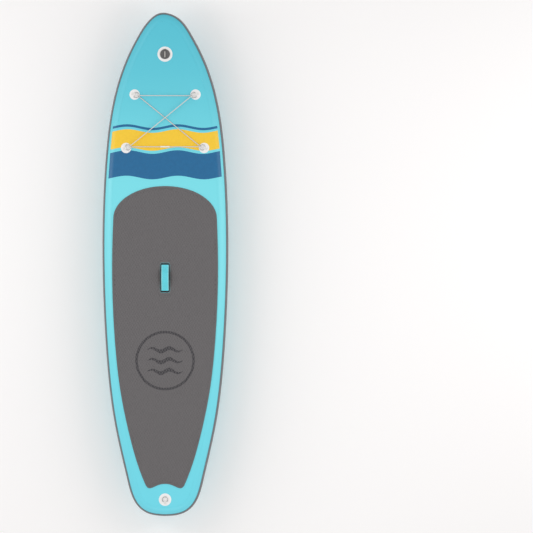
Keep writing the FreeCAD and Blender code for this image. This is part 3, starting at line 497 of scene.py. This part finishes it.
webbing_paint = finish("black_nylon_webbing", "1E1E20", 0.62, 0.15, 400.0)
threads(webbing_paint, 0.0021, 0.00035)
black_thread = finish("black_thread", "2B2B2E", 0.5, 0.15, 900.0)
threads(black_thread, 0.0006, 0.0001, ("DIAGONAL",))
handle_patch_paint = finish("black_coated_fabric", "232326", 0.48, 0.10, 90.0)
threads(handle_patch_paint, 0.0014, 0.00010)
coat("handle_patch", handle_patch_paint)

webbing_low, webbing_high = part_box("handle_webbing")


def swept(stations, sides_at):
    """Closed tube through one ring of places for each station along the board."""
    bm = bmesh.new()
    rings = []
    for station in stations:
        verts = [bm.verts.new(place) for place in sides_at(station)]
        rings.append([bm.edges.new(pair) for pair in zip(verts, verts[1:] + verts[:1])])
    for first, second in zip(rings, rings[1:]):
        bmesh.ops.bridge_loops(bm, edges=first + second)
    bmesh.ops.holes_fill(bm, edges=rings[0] + rings[-1], sides=0)
    bmesh.ops.recalc_face_normals(bm, faces=bm.faces)
    return bm


SELVAGE = 0.0022
WEBBING_STATIONS = 110
webbing_height = height_of("handle_webbing")
webbing_half = (webbing_high.x - webbing_low.x)/2


def webbing_ring(y):
    """Section of the webbing at y: flat, with a thicker woven edge."""
    under, over = webbing_height(0, y, True), webbing_height(0, y)
    middle, half = (under + over)/2, (over - under)/2
    profile = [(webbing_half, 0.0), (webbing_half - 0.0004, 0.75), (webbing_half - 0.0012, 1.0),
               (webbing_half - SELVAGE, 1.0), (webbing_half - SELVAGE - 0.0006, 0.86)]
    upper = profile + [(-x, share) for x, share in profile[::-1]]
    lower = [(-x, -share) for x, share in upper[1:-1]]
    return [(x, y, middle + half*share) for x, share in upper + lower]


webbing_run = webbing_high.y - webbing_low.y - 0.0004
webbing_stations = [webbing_low.y + 0.0002 + webbing_run*i/WEBBING_STATIONS
                    for i in range(WEBBING_STATIONS + 1)]
webbing_bm = swept(webbing_stations, webbing_ring)
piece("handle_loop", webbing_bm, webbing_paint, "board", 50.0, ["handle_webbing"])

FOOT_LENGTH = 0.018
FOOT_MARGIN = 0.003
PATCH_STITCH_INSET = 0.0022
PATCH_STITCH_END = 0.010
handle_stitch_bm = bmesh.new()
for outer, inner in ((webbing_low.y, webbing_low.y + FOOT_LENGTH),
                     (webbing_high.y, webbing_high.y - FOOT_LENGTH)):
    toward = math.copysign(FOOT_MARGIN, inner - outer)
    y0, y1 = outer + toward, inner - toward
    x1 = webbing_high.x - FOOT_MARGIN
    for start, end in (((-x1, y0), (x1, y0)), ((-x1, y1), (x1, y1)), ((-x1, y0), (-x1, y1)),
                       ((x1, y0), (x1, y1)), ((-x1, y0), (x1, y1)), ((-x1, y1), (x1, y0))):
        stitch_row(handle_stitch_bm, (*start, 0), (*end, 0),
                   lambda x, y: webbing_height(x, y) + STITCH_RADIUS/2)
patch_low, patch_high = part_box("handle_patch")
for hand in (-1, 1):
    line_x = hand*(patch_high.x - PATCH_STITCH_INSET)
    stitch_row(handle_stitch_bm, (line_x, patch_low.y + PATCH_STITCH_END, 0),
               (line_x, patch_high.y - PATCH_STITCH_END, 0), lambda x, y: patch_high.z + STITCH_RADIUS/3)
piece("handle_stitches", handle_stitch_bm, black_thread, "board", 60.0)

GRIP_CROWN = 0.0016
GRIP_STATIONS = 44
GRIP_SIDES = 28
grip_low, grip_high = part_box("handle_grip")
grip_height = height_of("handle_grip")
grip_half = (grip_high.x - grip_low.x)/2
grip_bm = bmesh.new()
grip_rings = []
for station in range(GRIP_STATIONS + 1):
    share = station/GRIP_STATIONS
    y = grip_low.y + 0.0006 + (grip_high.y - grip_low.y - 0.0012)*share
    low, high = grip_height(0, y, True), grip_height(0, y)
    middle, half = (low + high)/2, (high - low)/2
    end = min(1.0, min(share, 1 - share)*GRIP_STATIONS/3 + 0.45)
    ring_verts = []
    for side in range(GRIP_SIDES):
        angle = 2*math.pi*side/GRIP_SIDES
        c, s = math.cos(angle), math.sin(angle)
        x = grip_half*math.copysign(abs(c)**0.4, c)*(0.97 + 0.03*end)
        z = middle + half*math.copysign(abs(s)**0.7, s)*end
        if s > 0:
            z += GRIP_CROWN*(1 - (x/grip_half)**2)*end
        ring_verts.append(grip_bm.verts.new((x, y, z)))
    grip_rings.append([grip_bm.edges.new(pair) for pair in zip(ring_verts, ring_verts[1:] + ring_verts[:1])])
for first, second in zip(grip_rings, grip_rings[1:]):
    bmesh.ops.bridge_loops(grip_bm, edges=first + second)
bmesh.ops.holes_fill(grip_bm, edges=grip_rings[0] + grip_rings[-1], sides=0)
bmesh.ops.recalc_face_normals(grip_bm, faces=grip_bm.faces)
grip_paint = finish("teal_neoprene", "62D3E0", 0.78, 0.06, 120.0)
threads(grip_paint, 0.0013, 0.00012, turn=math.radians(45))
grain(grip_paint, 900.0, 0.00012)
grip_cover = piece("handle_cover", grip_bm, grip_paint, "board", 50.0, ["handle_grip"])

TAPE_WIDTH = 0.0042
tape_bm = bmesh.new()
tape_stitch_bm = bmesh.new()
for hand in (-1, 1):
    tape_rings = []
    for station in range(GRIP_STATIONS + 1):
        y = grip_low.y + 0.0025 + (grip_high.y - grip_low.y - 0.005)*station/GRIP_STATIONS
        low, high = grip_height(0, y, True), grip_height(0, y)
        outer = grip_half + 0.0006
        inner = grip_half - TAPE_WIDTH
        section = [(outer, low - 0.0002), (outer, high + 0.0003), (outer - 0.0008, high + 0.0009),
                   (inner, high + 0.0012), (inner, high + 0.0004), (inner, low - 0.0002)]
        ring_verts = [tape_bm.verts.new((hand*x, y, z)) for x, z in section]
        tape_rings.append([tape_bm.edges.new(pair)
                           for pair in zip(ring_verts, ring_verts[1:] + ring_verts[:1])])
    for first, second in zip(tape_rings, tape_rings[1:]):
        bmesh.ops.bridge_loops(tape_bm, edges=first + second)
    bmesh.ops.holes_fill(tape_bm, edges=tape_rings[0] + tape_rings[-1], sides=0)
    line_x = hand*(grip_half - TAPE_WIDTH*0.72)
    stitch_row(tape_stitch_bm, (line_x, grip_low.y + 0.004, 0), (line_x, grip_high.y - 0.004, 0),
               lambda x, y: grip_height(0, y) + 0.0014)
bmesh.ops.recalc_face_normals(tape_bm, faces=tape_bm.faces)
tape_paint = finish("pale_teal_binding", "8FE6EE", 0.6, 0.06, 300.0)
threads(tape_paint, 0.0009, 0.00012)
piece("handle_binding", tape_bm, tape_paint, "board", 45.0)
pale_thread = finish("pale_thread", "C9F3F5", 0.5, 0.08, 900.0)
threads(pale_thread, 0.0006, 0.0001, ("DIAGONAL",))
piece("handle_cover_stitches", tape_stitch_bm, pale_thread, "board", 60.0)

# ---------------------------------------------------------------- round patches
# White discs of coated fabric are welded to the hull under each D-ring and
# under the valve. The welding tool leaves a shallow ring near the edge and a
# second one round the middle.
PATCH = 0.0012
WELD_DEPTH = 0.0004
PATCH_STEPS = 72
patch_paint = finish("white_coated_fabric", "F3F1F0", 0.42, 0.03, 50.0)
threads(patch_paint, 0.0014, 0.00006)
grain(patch_paint, 600.0, 0.00008)


def round_patch(node, hole=0.0, under=False):
    """Welded disc in the place of a CAD patch, bent with the rocker."""
    low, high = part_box(node)
    middle = (low + high)/2
    radius = (high.x - low.x)/2
    profile = [(radius, 0.0), (radius, PATCH*0.5), (radius - 0.0005, PATCH*0.9), (radius - 0.0012, PATCH)]
    for weld in (0.90, 0.56):
        if radius*weld > hole + 0.004:
            profile += [(radius*weld + 0.0018, PATCH), (radius*weld + 0.0010, PATCH - WELD_DEPTH),
                        (radius*weld - 0.0010, PATCH - WELD_DEPTH), (radius*weld - 0.0018, PATCH)]
    profile += [(hole, PATCH), (hole, 0.0)]
    bm = bmesh.new()
    rim = [bm.verts.new((r, 0, z)) for r, z in profile]
    line = [bm.edges.new(pair) for pair in zip(rim, rim[1:] + rim[:1])]
    bmesh.ops.spin(bm, geom=rim + line, cent=(0, 0, 0), axis=(0, 0, 1), angle=2*math.pi,
                   steps=PATCH_STEPS, use_merge=True)
    bmesh.ops.remove_doubles(bm, verts=bm.verts, dist=1e-6)
    flat = [f for f in bm.faces if f.calc_area() < 1e-12]
    bmesh.ops.delete(bm, geom=flat, context="FACES_ONLY")
    for v in bm.verts:
        y = v.co.y + middle.y
        base = rise(y) if under else DECK + rise(y)
        v.co = (v.co.x + middle.x, y, base - v.co.z if under else base + v.co.z)
    bmesh.ops.recalc_face_normals(bm, faces=bm.faces)
    piece(node.replace("patch", "disc"), bm, patch_paint, "board", 30.0, [node])


CARGO_PLACES = ("front_port", "front_starboard", "rear_port", "rear_starboard")
for place in CARGO_PLACES:
    round_patch("cargo_patch_" + place)
round_patch("leash_patch")
round_patch("tow_patch", under=True)
round_patch("valve_patch", hole=0.0216)

# ---------------------------------------------------------------- ring tabs
# Each D-ring is held by a short white webbing tab, folded over the ring's bar
# and sewn down behind it in two rows.
tab_paint = finish("white_webbing", "E9E7E4", 0.66, 0.05, 400.0)
threads(tab_paint, 0.0016, 0.00030)
tab_thread = finish("grey_thread", "C4C2C0", 0.5, 0.08, 900.0)
threads(tab_thread, 0.0006, 0.0001, ("DIAGONAL",))
tab_stitch_bm = bmesh.new()
for node in ["cargo_tab_" + place for place in CARGO_PLACES] + ["leash_tab"]:
    coat(node, tab_paint)
    tab_low, tab_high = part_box(node)
    ring_low, ring_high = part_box(node.replace("tab", "ring"))
    tab_middle = Vector(((tab_low.x + tab_high.x)/2, (tab_low.y + tab_high.y)/2, 0))
    ring_middle = Vector(((ring_low.x + ring_high.x)/2, (ring_low.y + ring_high.y)/2, 0))
    ahead = (ring_middle - tab_middle).normalized()
    sideways = Vector((-ahead.y, ahead.x, 0))
    tab_height = height_of(node)
    for back in (0.0015, 0.0055):
        row = tab_middle - ahead*back
        stitch_row(tab_stitch_bm, row - sideways*0.0065, row + sideways*0.0065,
                   lambda x, y: (tab_height(x, y) or DECK) + STITCH_RADIUS/2)
coat("tow_tab", tab_paint)
piece("tab_stitches", tab_stitch_bm, tab_thread, "board", 60.0)

# ---------------------------------------------------------------- D-rings
# The rings are 4 mm stainless wire, bent and welded in the bar, with a brushed
# finish and fine rub marks from the cord and the leash.
steel_paint = finish("stainless_wire", "B9B9B8", 0.28, 0.08, 300.0, metallic=1.0)
threads(steel_paint, 0.0007, 0.00002, ("DIAGONAL",))
for node in ["cargo_ring_" + p for p in CARGO_PLACES] + ["leash_ring", "tow_ring"]:
    coat(node, steel_paint)

# ---------------------------------------------------------------- inflation valve
# A grey moulded valve is clamped through the deck by a nut inside. Its screw-in
# body carries a sprung stem; a cap on a swivelling tether closes it. The cap
# has a ribbed rim, a raised ring and a paler bar to grip it by.
valve_paint = finish("grey_valve_plastic", "7D7B79", 0.42, 0.05, 200.0)
grain(valve_paint, 1100.0, 0.00008)
for node in ("valve_body", "valve_nut", "valve_tether", "valve_stem", "valve_button"):
    coat(node, valve_paint)
cap_paint = finish("dark_cap_plastic", "5F5D5C", 0.38, 0.06, 200.0)
grain(cap_paint, 1100.0, 0.00008)
coat("valve_cap", cap_paint)
seal_paint = finish("black_rubber", "2A2A2A", 0.7, 0.12, 300.0)
grain(seal_paint, 1500.0, 0.00010)
for node in ("valve_gasket", "valve_seal", "valve_cap_seal"):
    coat(node, seal_paint)
spring_paint = finish("spring_wire", "A8A9AC", 0.25, 0.06, 400.0, metallic=1.0)
threads(spring_paint, 0.0005, 0.00001, ("DIAGONAL",))
coat("valve_cap_pin", spring_paint)

CAP_RADIUS = 0.030
CAP_UNDER = 0.00845       # cap's underside above the deck, along the valve's axis
CAP_TOP = 0.01145
CAP_BAR_TOP = 0.01645
CAP_RIBS = 40
CAP_RIB = (0.0012, 0.0021, 0.0022)
CAP_RIB_MIDDLE = (CAP_UNDER + CAP_TOP)/2 - 0.0002
CAP_INSERT = (0.0064, 0.040, 0.0016)
CAP_INSERT_CORNER = 0.0030
valve_low, valve_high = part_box("valve_patch")
valve_y = (valve_low.y + valve_high.y)/2
valve_slope = math.asin((valve_y - ROCKER_START)/ROCKER_RADIUS)
valve_place = Matrix.Translation((0, valve_y, DECK + rise(valve_y))) @ Matrix.Rotation(valve_slope, 4, "X")

# The spring stands on the guide inside the valve.
spring_bm = bmesh.new()
spring_bm.from_mesh(cad["valve_spring"].data)
spring = piece("valve_coil", spring_bm, spring_paint, "board", 40.0, ["valve_spring"])
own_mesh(spring)

rib_bm = bmesh.new()
for rib in range(CAP_RIBS):
    turn = 2*math.pi*rib/CAP_RIBS
    shape = (Matrix.Rotation(turn, 4, "Z") @ Matrix.Translation((CAP_RADIUS, 0, CAP_RIB_MIDDLE))
             @ Matrix.Diagonal((*CAP_RIB, 1.0)))
    bmesh.ops.create_cube(rib_bm, size=1.0, matrix=valve_place @ shape)
bmesh.ops.bevel(rib_bm, geom=rib_bm.edges[:], offset=0.0003, segments=2, profile=0.5, affect="EDGES",
                material=-1)
piece("cap_ribs", rib_bm, cap_paint, "valve_cap", 40.0)

ring_bm = bmesh.new()
ring_profile = [(0.0248, CAP_TOP - 0.0004), (0.0248, CAP_TOP + 0.0004), (0.0244, CAP_TOP + 0.0008),
                (0.0238, CAP_TOP + 0.0008), (0.0234, CAP_TOP + 0.0004), (0.0234, CAP_TOP - 0.0004)]
ring_verts = [ring_bm.verts.new((r, 0, z)) for r, z in ring_profile]
ring_line = [ring_bm.edges.new(pair) for pair in zip(ring_verts, ring_verts[1:] + ring_verts[:1])]
bmesh.ops.spin(ring_bm, geom=ring_verts + ring_line, cent=(0, 0, 0), axis=(0, 0, 1), angle=2*math.pi,
               steps=96, use_merge=True)
bmesh.ops.recalc_face_normals(ring_bm, faces=ring_bm.faces)
bmesh.ops.transform(ring_bm, matrix=valve_place, verts=ring_bm.verts)
piece("cap_ring", ring_bm, cap_paint, "valve_cap", 40.0)

bar_bm = bmesh.new()
bmesh.ops.create_cube(bar_bm, size=1.0, matrix=Matrix.Translation((0, 0, CAP_BAR_TOP + 0.0001))
                      @ Matrix.Diagonal((*CAP_INSERT, 1.0)))
upright = [e for e in bar_bm.edges if abs((e.verts[0].co - e.verts[1].co).normalized().z) > 0.9]
bmesh.ops.bevel(bar_bm, geom=upright, offset=CAP_INSERT_CORNER, segments=6, profile=0.5, affect="EDGES",
                material=-1)
crown = [e for e in bar_bm.edges if all(v.co.z > CAP_BAR_TOP + 0.0005 for v in e.verts)]
bmesh.ops.bevel(bar_bm, geom=crown, offset=0.0005, segments=2, profile=0.5, affect="EDGES", material=-1)
bmesh.ops.transform(bar_bm, matrix=valve_place, verts=bar_bm.verts)
bar_paint = finish("pale_grip_insert", "BDB9B4", 0.55, 0.06, 300.0)
grain(bar_paint, 1300.0, 0.00010)
piece("cap_grip_insert", bar_bm, bar_paint, "valve_cap", 40.0)

# ---------------------------------------------------------------- fin and its base
# The fin is moulded in black nylon, with fine ribs along its leading edge. It
# slides into a black base that is bonded to a white fabric patch under the tail.
fin_paint = finish("black_fin_plastic", "232426", 0.38, 0.08, 120.0)
grain(fin_paint, 900.0, 0.00010)
coat("fin", fin_paint)
base_paint = finish("black_base_plastic", "1D1D1F", 0.46, 0.08, 90.0)
grain(base_paint, 1300.0, 0.00012)
coat("fin_base", base_paint)
coat("fin_patch", patch_paint)

FIN_RIBS = 30
RIB_LENGTH = 0.011
RIB_MARGIN = 0.0025
RIB_PROUD = 0.0006
RIB_WIDTH = 0.0018
RIBS_FROM_TIP = 0.040
RIBS_FROM_ROOT = 0.022
fin_low, fin_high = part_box("fin")
fin_shell = bmesh.new()
fin_shell.from_mesh(cad["fin"].data)
fin_tree = BVHTree.FromBMesh(fin_shell)
fin_shell.free()


def leading_edge(z):
    """Place of the fin's leading edge at height z."""
    return fin_tree.ray_cast(Vector((0, fin_high.y + 0.1, z)), Vector((0, -1, 0)))[0]


rib_run = fin_high.z - fin_low.z - RIBS_FROM_TIP - RIBS_FROM_ROOT
fin_rib_bm = bmesh.new()
for rib in range(FIN_RIBS):
    z = fin_low.z + RIBS_FROM_TIP + rib_run*rib/(FIN_RIBS - 1)
    along = (leading_edge(z + 0.002) - leading_edge(z - 0.002)).normalized()
    inward = Vector((0, -along.z, along.y))
    middle = leading_edge(z) + inward*(RIB_MARGIN + RIB_LENGTH/2)
    wide = fin_tree.ray_cast(middle + Vector((0.1, 0, 0)), Vector((-1, 0, 0)))[0]
    turn = Matrix((Vector((1, 0, 0)), inward, along)).transposed().to_4x4()
    shape = (Matrix.Translation(middle) @ turn
             @ Matrix.Diagonal((2*(wide.x + RIB_PROUD), RIB_LENGTH, RIB_WIDTH, 1.0)))
    bmesh.ops.create_cube(fin_rib_bm, size=1.0, matrix=shape)
bmesh.ops.bevel(fin_rib_bm, geom=fin_rib_bm.edges[:], offset=0.0005, segments=2, profile=0.5, affect="EDGES",
                material=-1)
piece("fin_ribs", fin_rib_bm, fin_paint, "fin", 40.0)

# A raised lip is moulded round the outside of the base's flange.
base_low, base_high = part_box("fin_base")
LIP_WIDTH = 0.0016
LIP_HEIGHT = 0.0008
LIP_INSET = 0.004
LIP_CORNER = 0.014
FLANGE_THICKNESS = 0.0025
flange_z = base_high.z - FLANGE_THICKNESS
lip_bm = bmesh.new()
bmesh.ops.create_grid(lip_bm, x_segments=1, y_segments=1, size=1.0)
lip_size = ((base_high.x - base_low.x)/2 - LIP_INSET, (base_high.y - base_low.y)/2 - LIP_INSET, 1.0)
bmesh.ops.scale(lip_bm, vec=lip_size, verts=lip_bm.verts)
bmesh.ops.bevel(lip_bm, geom=lip_bm.verts[:], offset=LIP_CORNER, segments=10, profile=0.5, affect="VERTICES",
                material=-1)
bmesh.ops.inset_region(lip_bm, faces=lip_bm.faces, thickness=LIP_WIDTH, use_boundary=True,
                       use_even_offset=True)
inner = max(lip_bm.faces, key=lambda f: len(f.verts))
bmesh.ops.delete(lip_bm, geom=[inner], context="FACES_ONLY")
grown = bmesh.ops.extrude_face_region(lip_bm, geom=lip_bm.faces[:])["geom"]
bmesh.ops.translate(lip_bm, vec=(0, 0, -LIP_HEIGHT - 0.0002), verts=[v for v in grown
                                                                      if isinstance(v, bmesh.types.BMVert)])
bmesh.ops.recalc_face_normals(lip_bm, faces=lip_bm.faces)
bmesh.ops.translate(lip_bm, verts=lip_bm.verts,
                    vec=((base_low.x + base_high.x)/2, (base_low.y + base_high.y)/2, flange_z + 0.0002))
piece("base_lip", lip_bm, base_paint, "board", 40.0)

# ---------------------------------------------------------------- printed deck
# Plain wavy stripes in yellow and navy ink are screen printed across the
# foredeck, from one side to the other and a little way over the rounded edge.
# The ink lies on the coat as a very thin film.
INK = 0.00022
LAYER = 0.000008          # each shape of one film lies this much above the last
FILM_GRID = (0.005, 0.010)   # across the board and along it
PRINT_INSET = 0.028
RAIL_REACH = 0.060
EDGE_STEPS = 60
deck_shell = bmesh.new()
deck_shell.from_mesh(cad["deck_panel"].data)
deck_tree = BVHTree.FromBMesh(deck_shell)
deck_shell.free()
wall_shell = bmesh.new()
for node in ("sidewall_fore", "sidewall_aft"):
    wall_shell.from_mesh(cad[node].data)
wall_tree = BVHTree.FromBMesh(wall_shell)
wall_shell.free()


def print_edge(y):
    """Half width of the printed area at y."""
    hit = wall_tree.ray_cast(Vector((1.0, y, DECK/2 + rise(y))), Vector((-1, 0, 0)))[0]
    return hit.x - PRINT_INSET


def deck_height(x, y):
    """Height of the deck, and of the rounded side next to it, at x, y."""
    near = deck_tree.find_nearest(Vector((x, y, DECK + rise(y))))[0]
    past = min(RAIL_REACH, math.hypot(near.x - x, near.y - y))
    shaped = rise(y) + DECK/2*(1 + math.sqrt(1 - (past/RAIL_REACH)**2))
    above = Vector((x, y, 1.0))
    hits = [tree.ray_cast(above, Vector((0, 0, -1)))[0] for tree in (deck_tree, wall_tree)]
    return max([shaped] + [hit.z for hit in hits if hit])


def film(name, outlines, paint, height, under=False, ink=INK, groove=0.0):
    """Thin printed film on a surface, filled from closed outlines in metres."""
    bm = bmesh.new()
    lift = bm.verts.layers.float.new("lift")
    for layer, outline in enumerate(outlines):
        verts = [bm.verts.new((x, y, 0)) for x, y in outline]
        for v in verts:
            v[lift] = ink + layer*LAYER
        rim = [bm.edges.new(pair) for pair in zip(verts, verts[1:] + verts[:1])]
        bmesh.ops.triangle_fill(bm, edges=rim, use_beauty=True, normal=(0, 0, 1))
    for axis, grid in enumerate(FILM_GRID):
        low = min(v.co[axis] for v in bm.verts)
        high = max(v.co[axis] for v in bm.verts)
        normal = Vector((1 - axis, axis, 0))
        for line in range(math.floor(low/grid) + 1, math.ceil(high/grid)):
            bmesh.ops.bisect_plane(bm, geom=bm.verts[:] + bm.edges[:] + bm.faces[:], dist=1e-6,
                                   plane_co=normal*(line*grid), plane_no=normal)
    if groove:
        for hand in (-1, 1):
            across = Vector((math.cos(slant), hand*math.sin(slant), 0))
            far = [v.co.dot(across)/spacing for v in bm.verts]
            for line in range(math.floor(min(far)), math.ceil(max(far)) + 1):
                for side in (-groove, groove):
                    bmesh.ops.bisect_plane(bm, geom=bm.verts[:] + bm.edges[:] + bm.faces[:], dist=1e-6,
                                           plane_co=across*(line*spacing + side), plane_no=across)
            gone = [f for f in bm.faces
                    if abs(math.remainder(f.calc_center_median().dot(across), spacing)) < groove]
            bmesh.ops.delete(bm, geom=gone, context="FACES")
    for v in bm.verts:
        top = height(v.co.x, v.co.y)
        v.co.z = top - v[lift] if under else top + v[lift]
    for f in bm.faces:
        if (f.normal.z < 0) != under:
            f.normal_flip()
    return piece(name, bm, paint, "board", 30.0)


def stripe(middle, width, swing, length):
    """Wavy stripe right across the board, of even width, with waves of that length."""
    upper, lower = [], []
    for step in range(EDGE_STEPS + 1):
        share = 2*step/EDGE_STEPS - 1
        sway = swing*math.sin(2*math.pi*share*print_edge(middle)/length)
        for line, side in ((upper, 1), (lower, -1)):
            y = middle + side*width/2 + sway
            line.append((share*print_edge(y), y))
    return upper + lower[::-1]


yellow_paint = finish("yellow_ink", "F6C92E", 0.36, 0.03, 60.0)
threads(yellow_paint, 0.0016, 0.00005)
grain(yellow_paint, 700.0, 0.00008)
navy_paint = finish("navy_ink", "0E6495", 0.36, 0.05, 40.0)
threads(navy_paint, 0.0016, 0.00005)
grain(navy_paint, 700.0, 0.00008)
WAVE_SWING = 0.012
WAVE_LENGTH = 0.340
film("print_yellow_stripe", [stripe(0.830, 0.120, WAVE_SWING, WAVE_LENGTH)], yellow_paint, deck_height)
film("print_navy_stripes", [stripe(0.665, 0.170, WAVE_SWING, WAVE_LENGTH),
                            stripe(0.915, 0.016, WAVE_SWING, WAVE_LENGTH)], navy_paint, deck_height)

# ---------------------------------------------------------------- printed pad
# A plain ring round three wavy strokes is printed in dark grey on the pad's
# after half. It lies on the diamonds and skips the grooves.
pad_ink_paint = finish("dark_grey_ink", "38363A", 0.75, 0.08, 60.0)
grain(pad_ink_paint, 1400.0, 0.00020)


def pad_height(x, y):
    """Height of the pad's top, which is flat."""
    return pad_high.z


def stroke(y, half_length, width, swing, waves):
    """Wavy stroke, thick in the middle and thin at its ends."""
    upper, lower = [], []
    for step in range(EDGE_STEPS + 1):
        share = step/EDGE_STEPS
        middle = y + swing*math.sin(2*math.pi*waves*share)
        half = width/2*(0.15 + 0.85*math.sin(math.pi*share))
        x = half_length*(2*share - 1)
        upper.append((x, middle + half))
        lower.append((x, middle - half))
    return upper + lower[::-1]


def half_ring(y, radius, width, hand):
    """Half of a plain ring, on one side of the board's middle."""
    turns = [math.pi*(step/EDGE_STEPS - 0.5) for step in range(EDGE_STEPS + 1)]
    outer = [(hand*(radius + width/2)*math.cos(t), y + (radius + width/2)*math.sin(t)) for t in turns]
    inner = [(hand*(radius - width/2)*math.cos(t), y + (radius - width/2)*math.sin(t)) for t in turns]
    return outer + inner[::-1]


def wave_emblem(y, radius):
    """Plain ring round three wavy strokes, centred at y."""
    shapes = [half_ring(y, radius, radius*0.09, hand) for hand in (-1, 1)]
    for row in (-1, 0, 1):
        shapes.append(stroke(y + row*radius*0.38, radius*0.62, radius*0.15, radius*0.06, 2))
    return shapes


film("pad_print", wave_emblem(-0.640, 0.190), pad_ink_paint, pad_height, ink=0.00012,
     groove=GROOVE_HALF*1.15)

# ---------------------------------------------------------------- printed bottom
# The same plain ring and strokes are printed larger in navy on the bottom,
# ahead of the middle.


def bottom_height(x, y):
    """Height of the bottom's outer face at x, y."""
    return rise(y)


film("bottom_print", wave_emblem(0.320, 0.240), navy_paint, bottom_height, under=True)
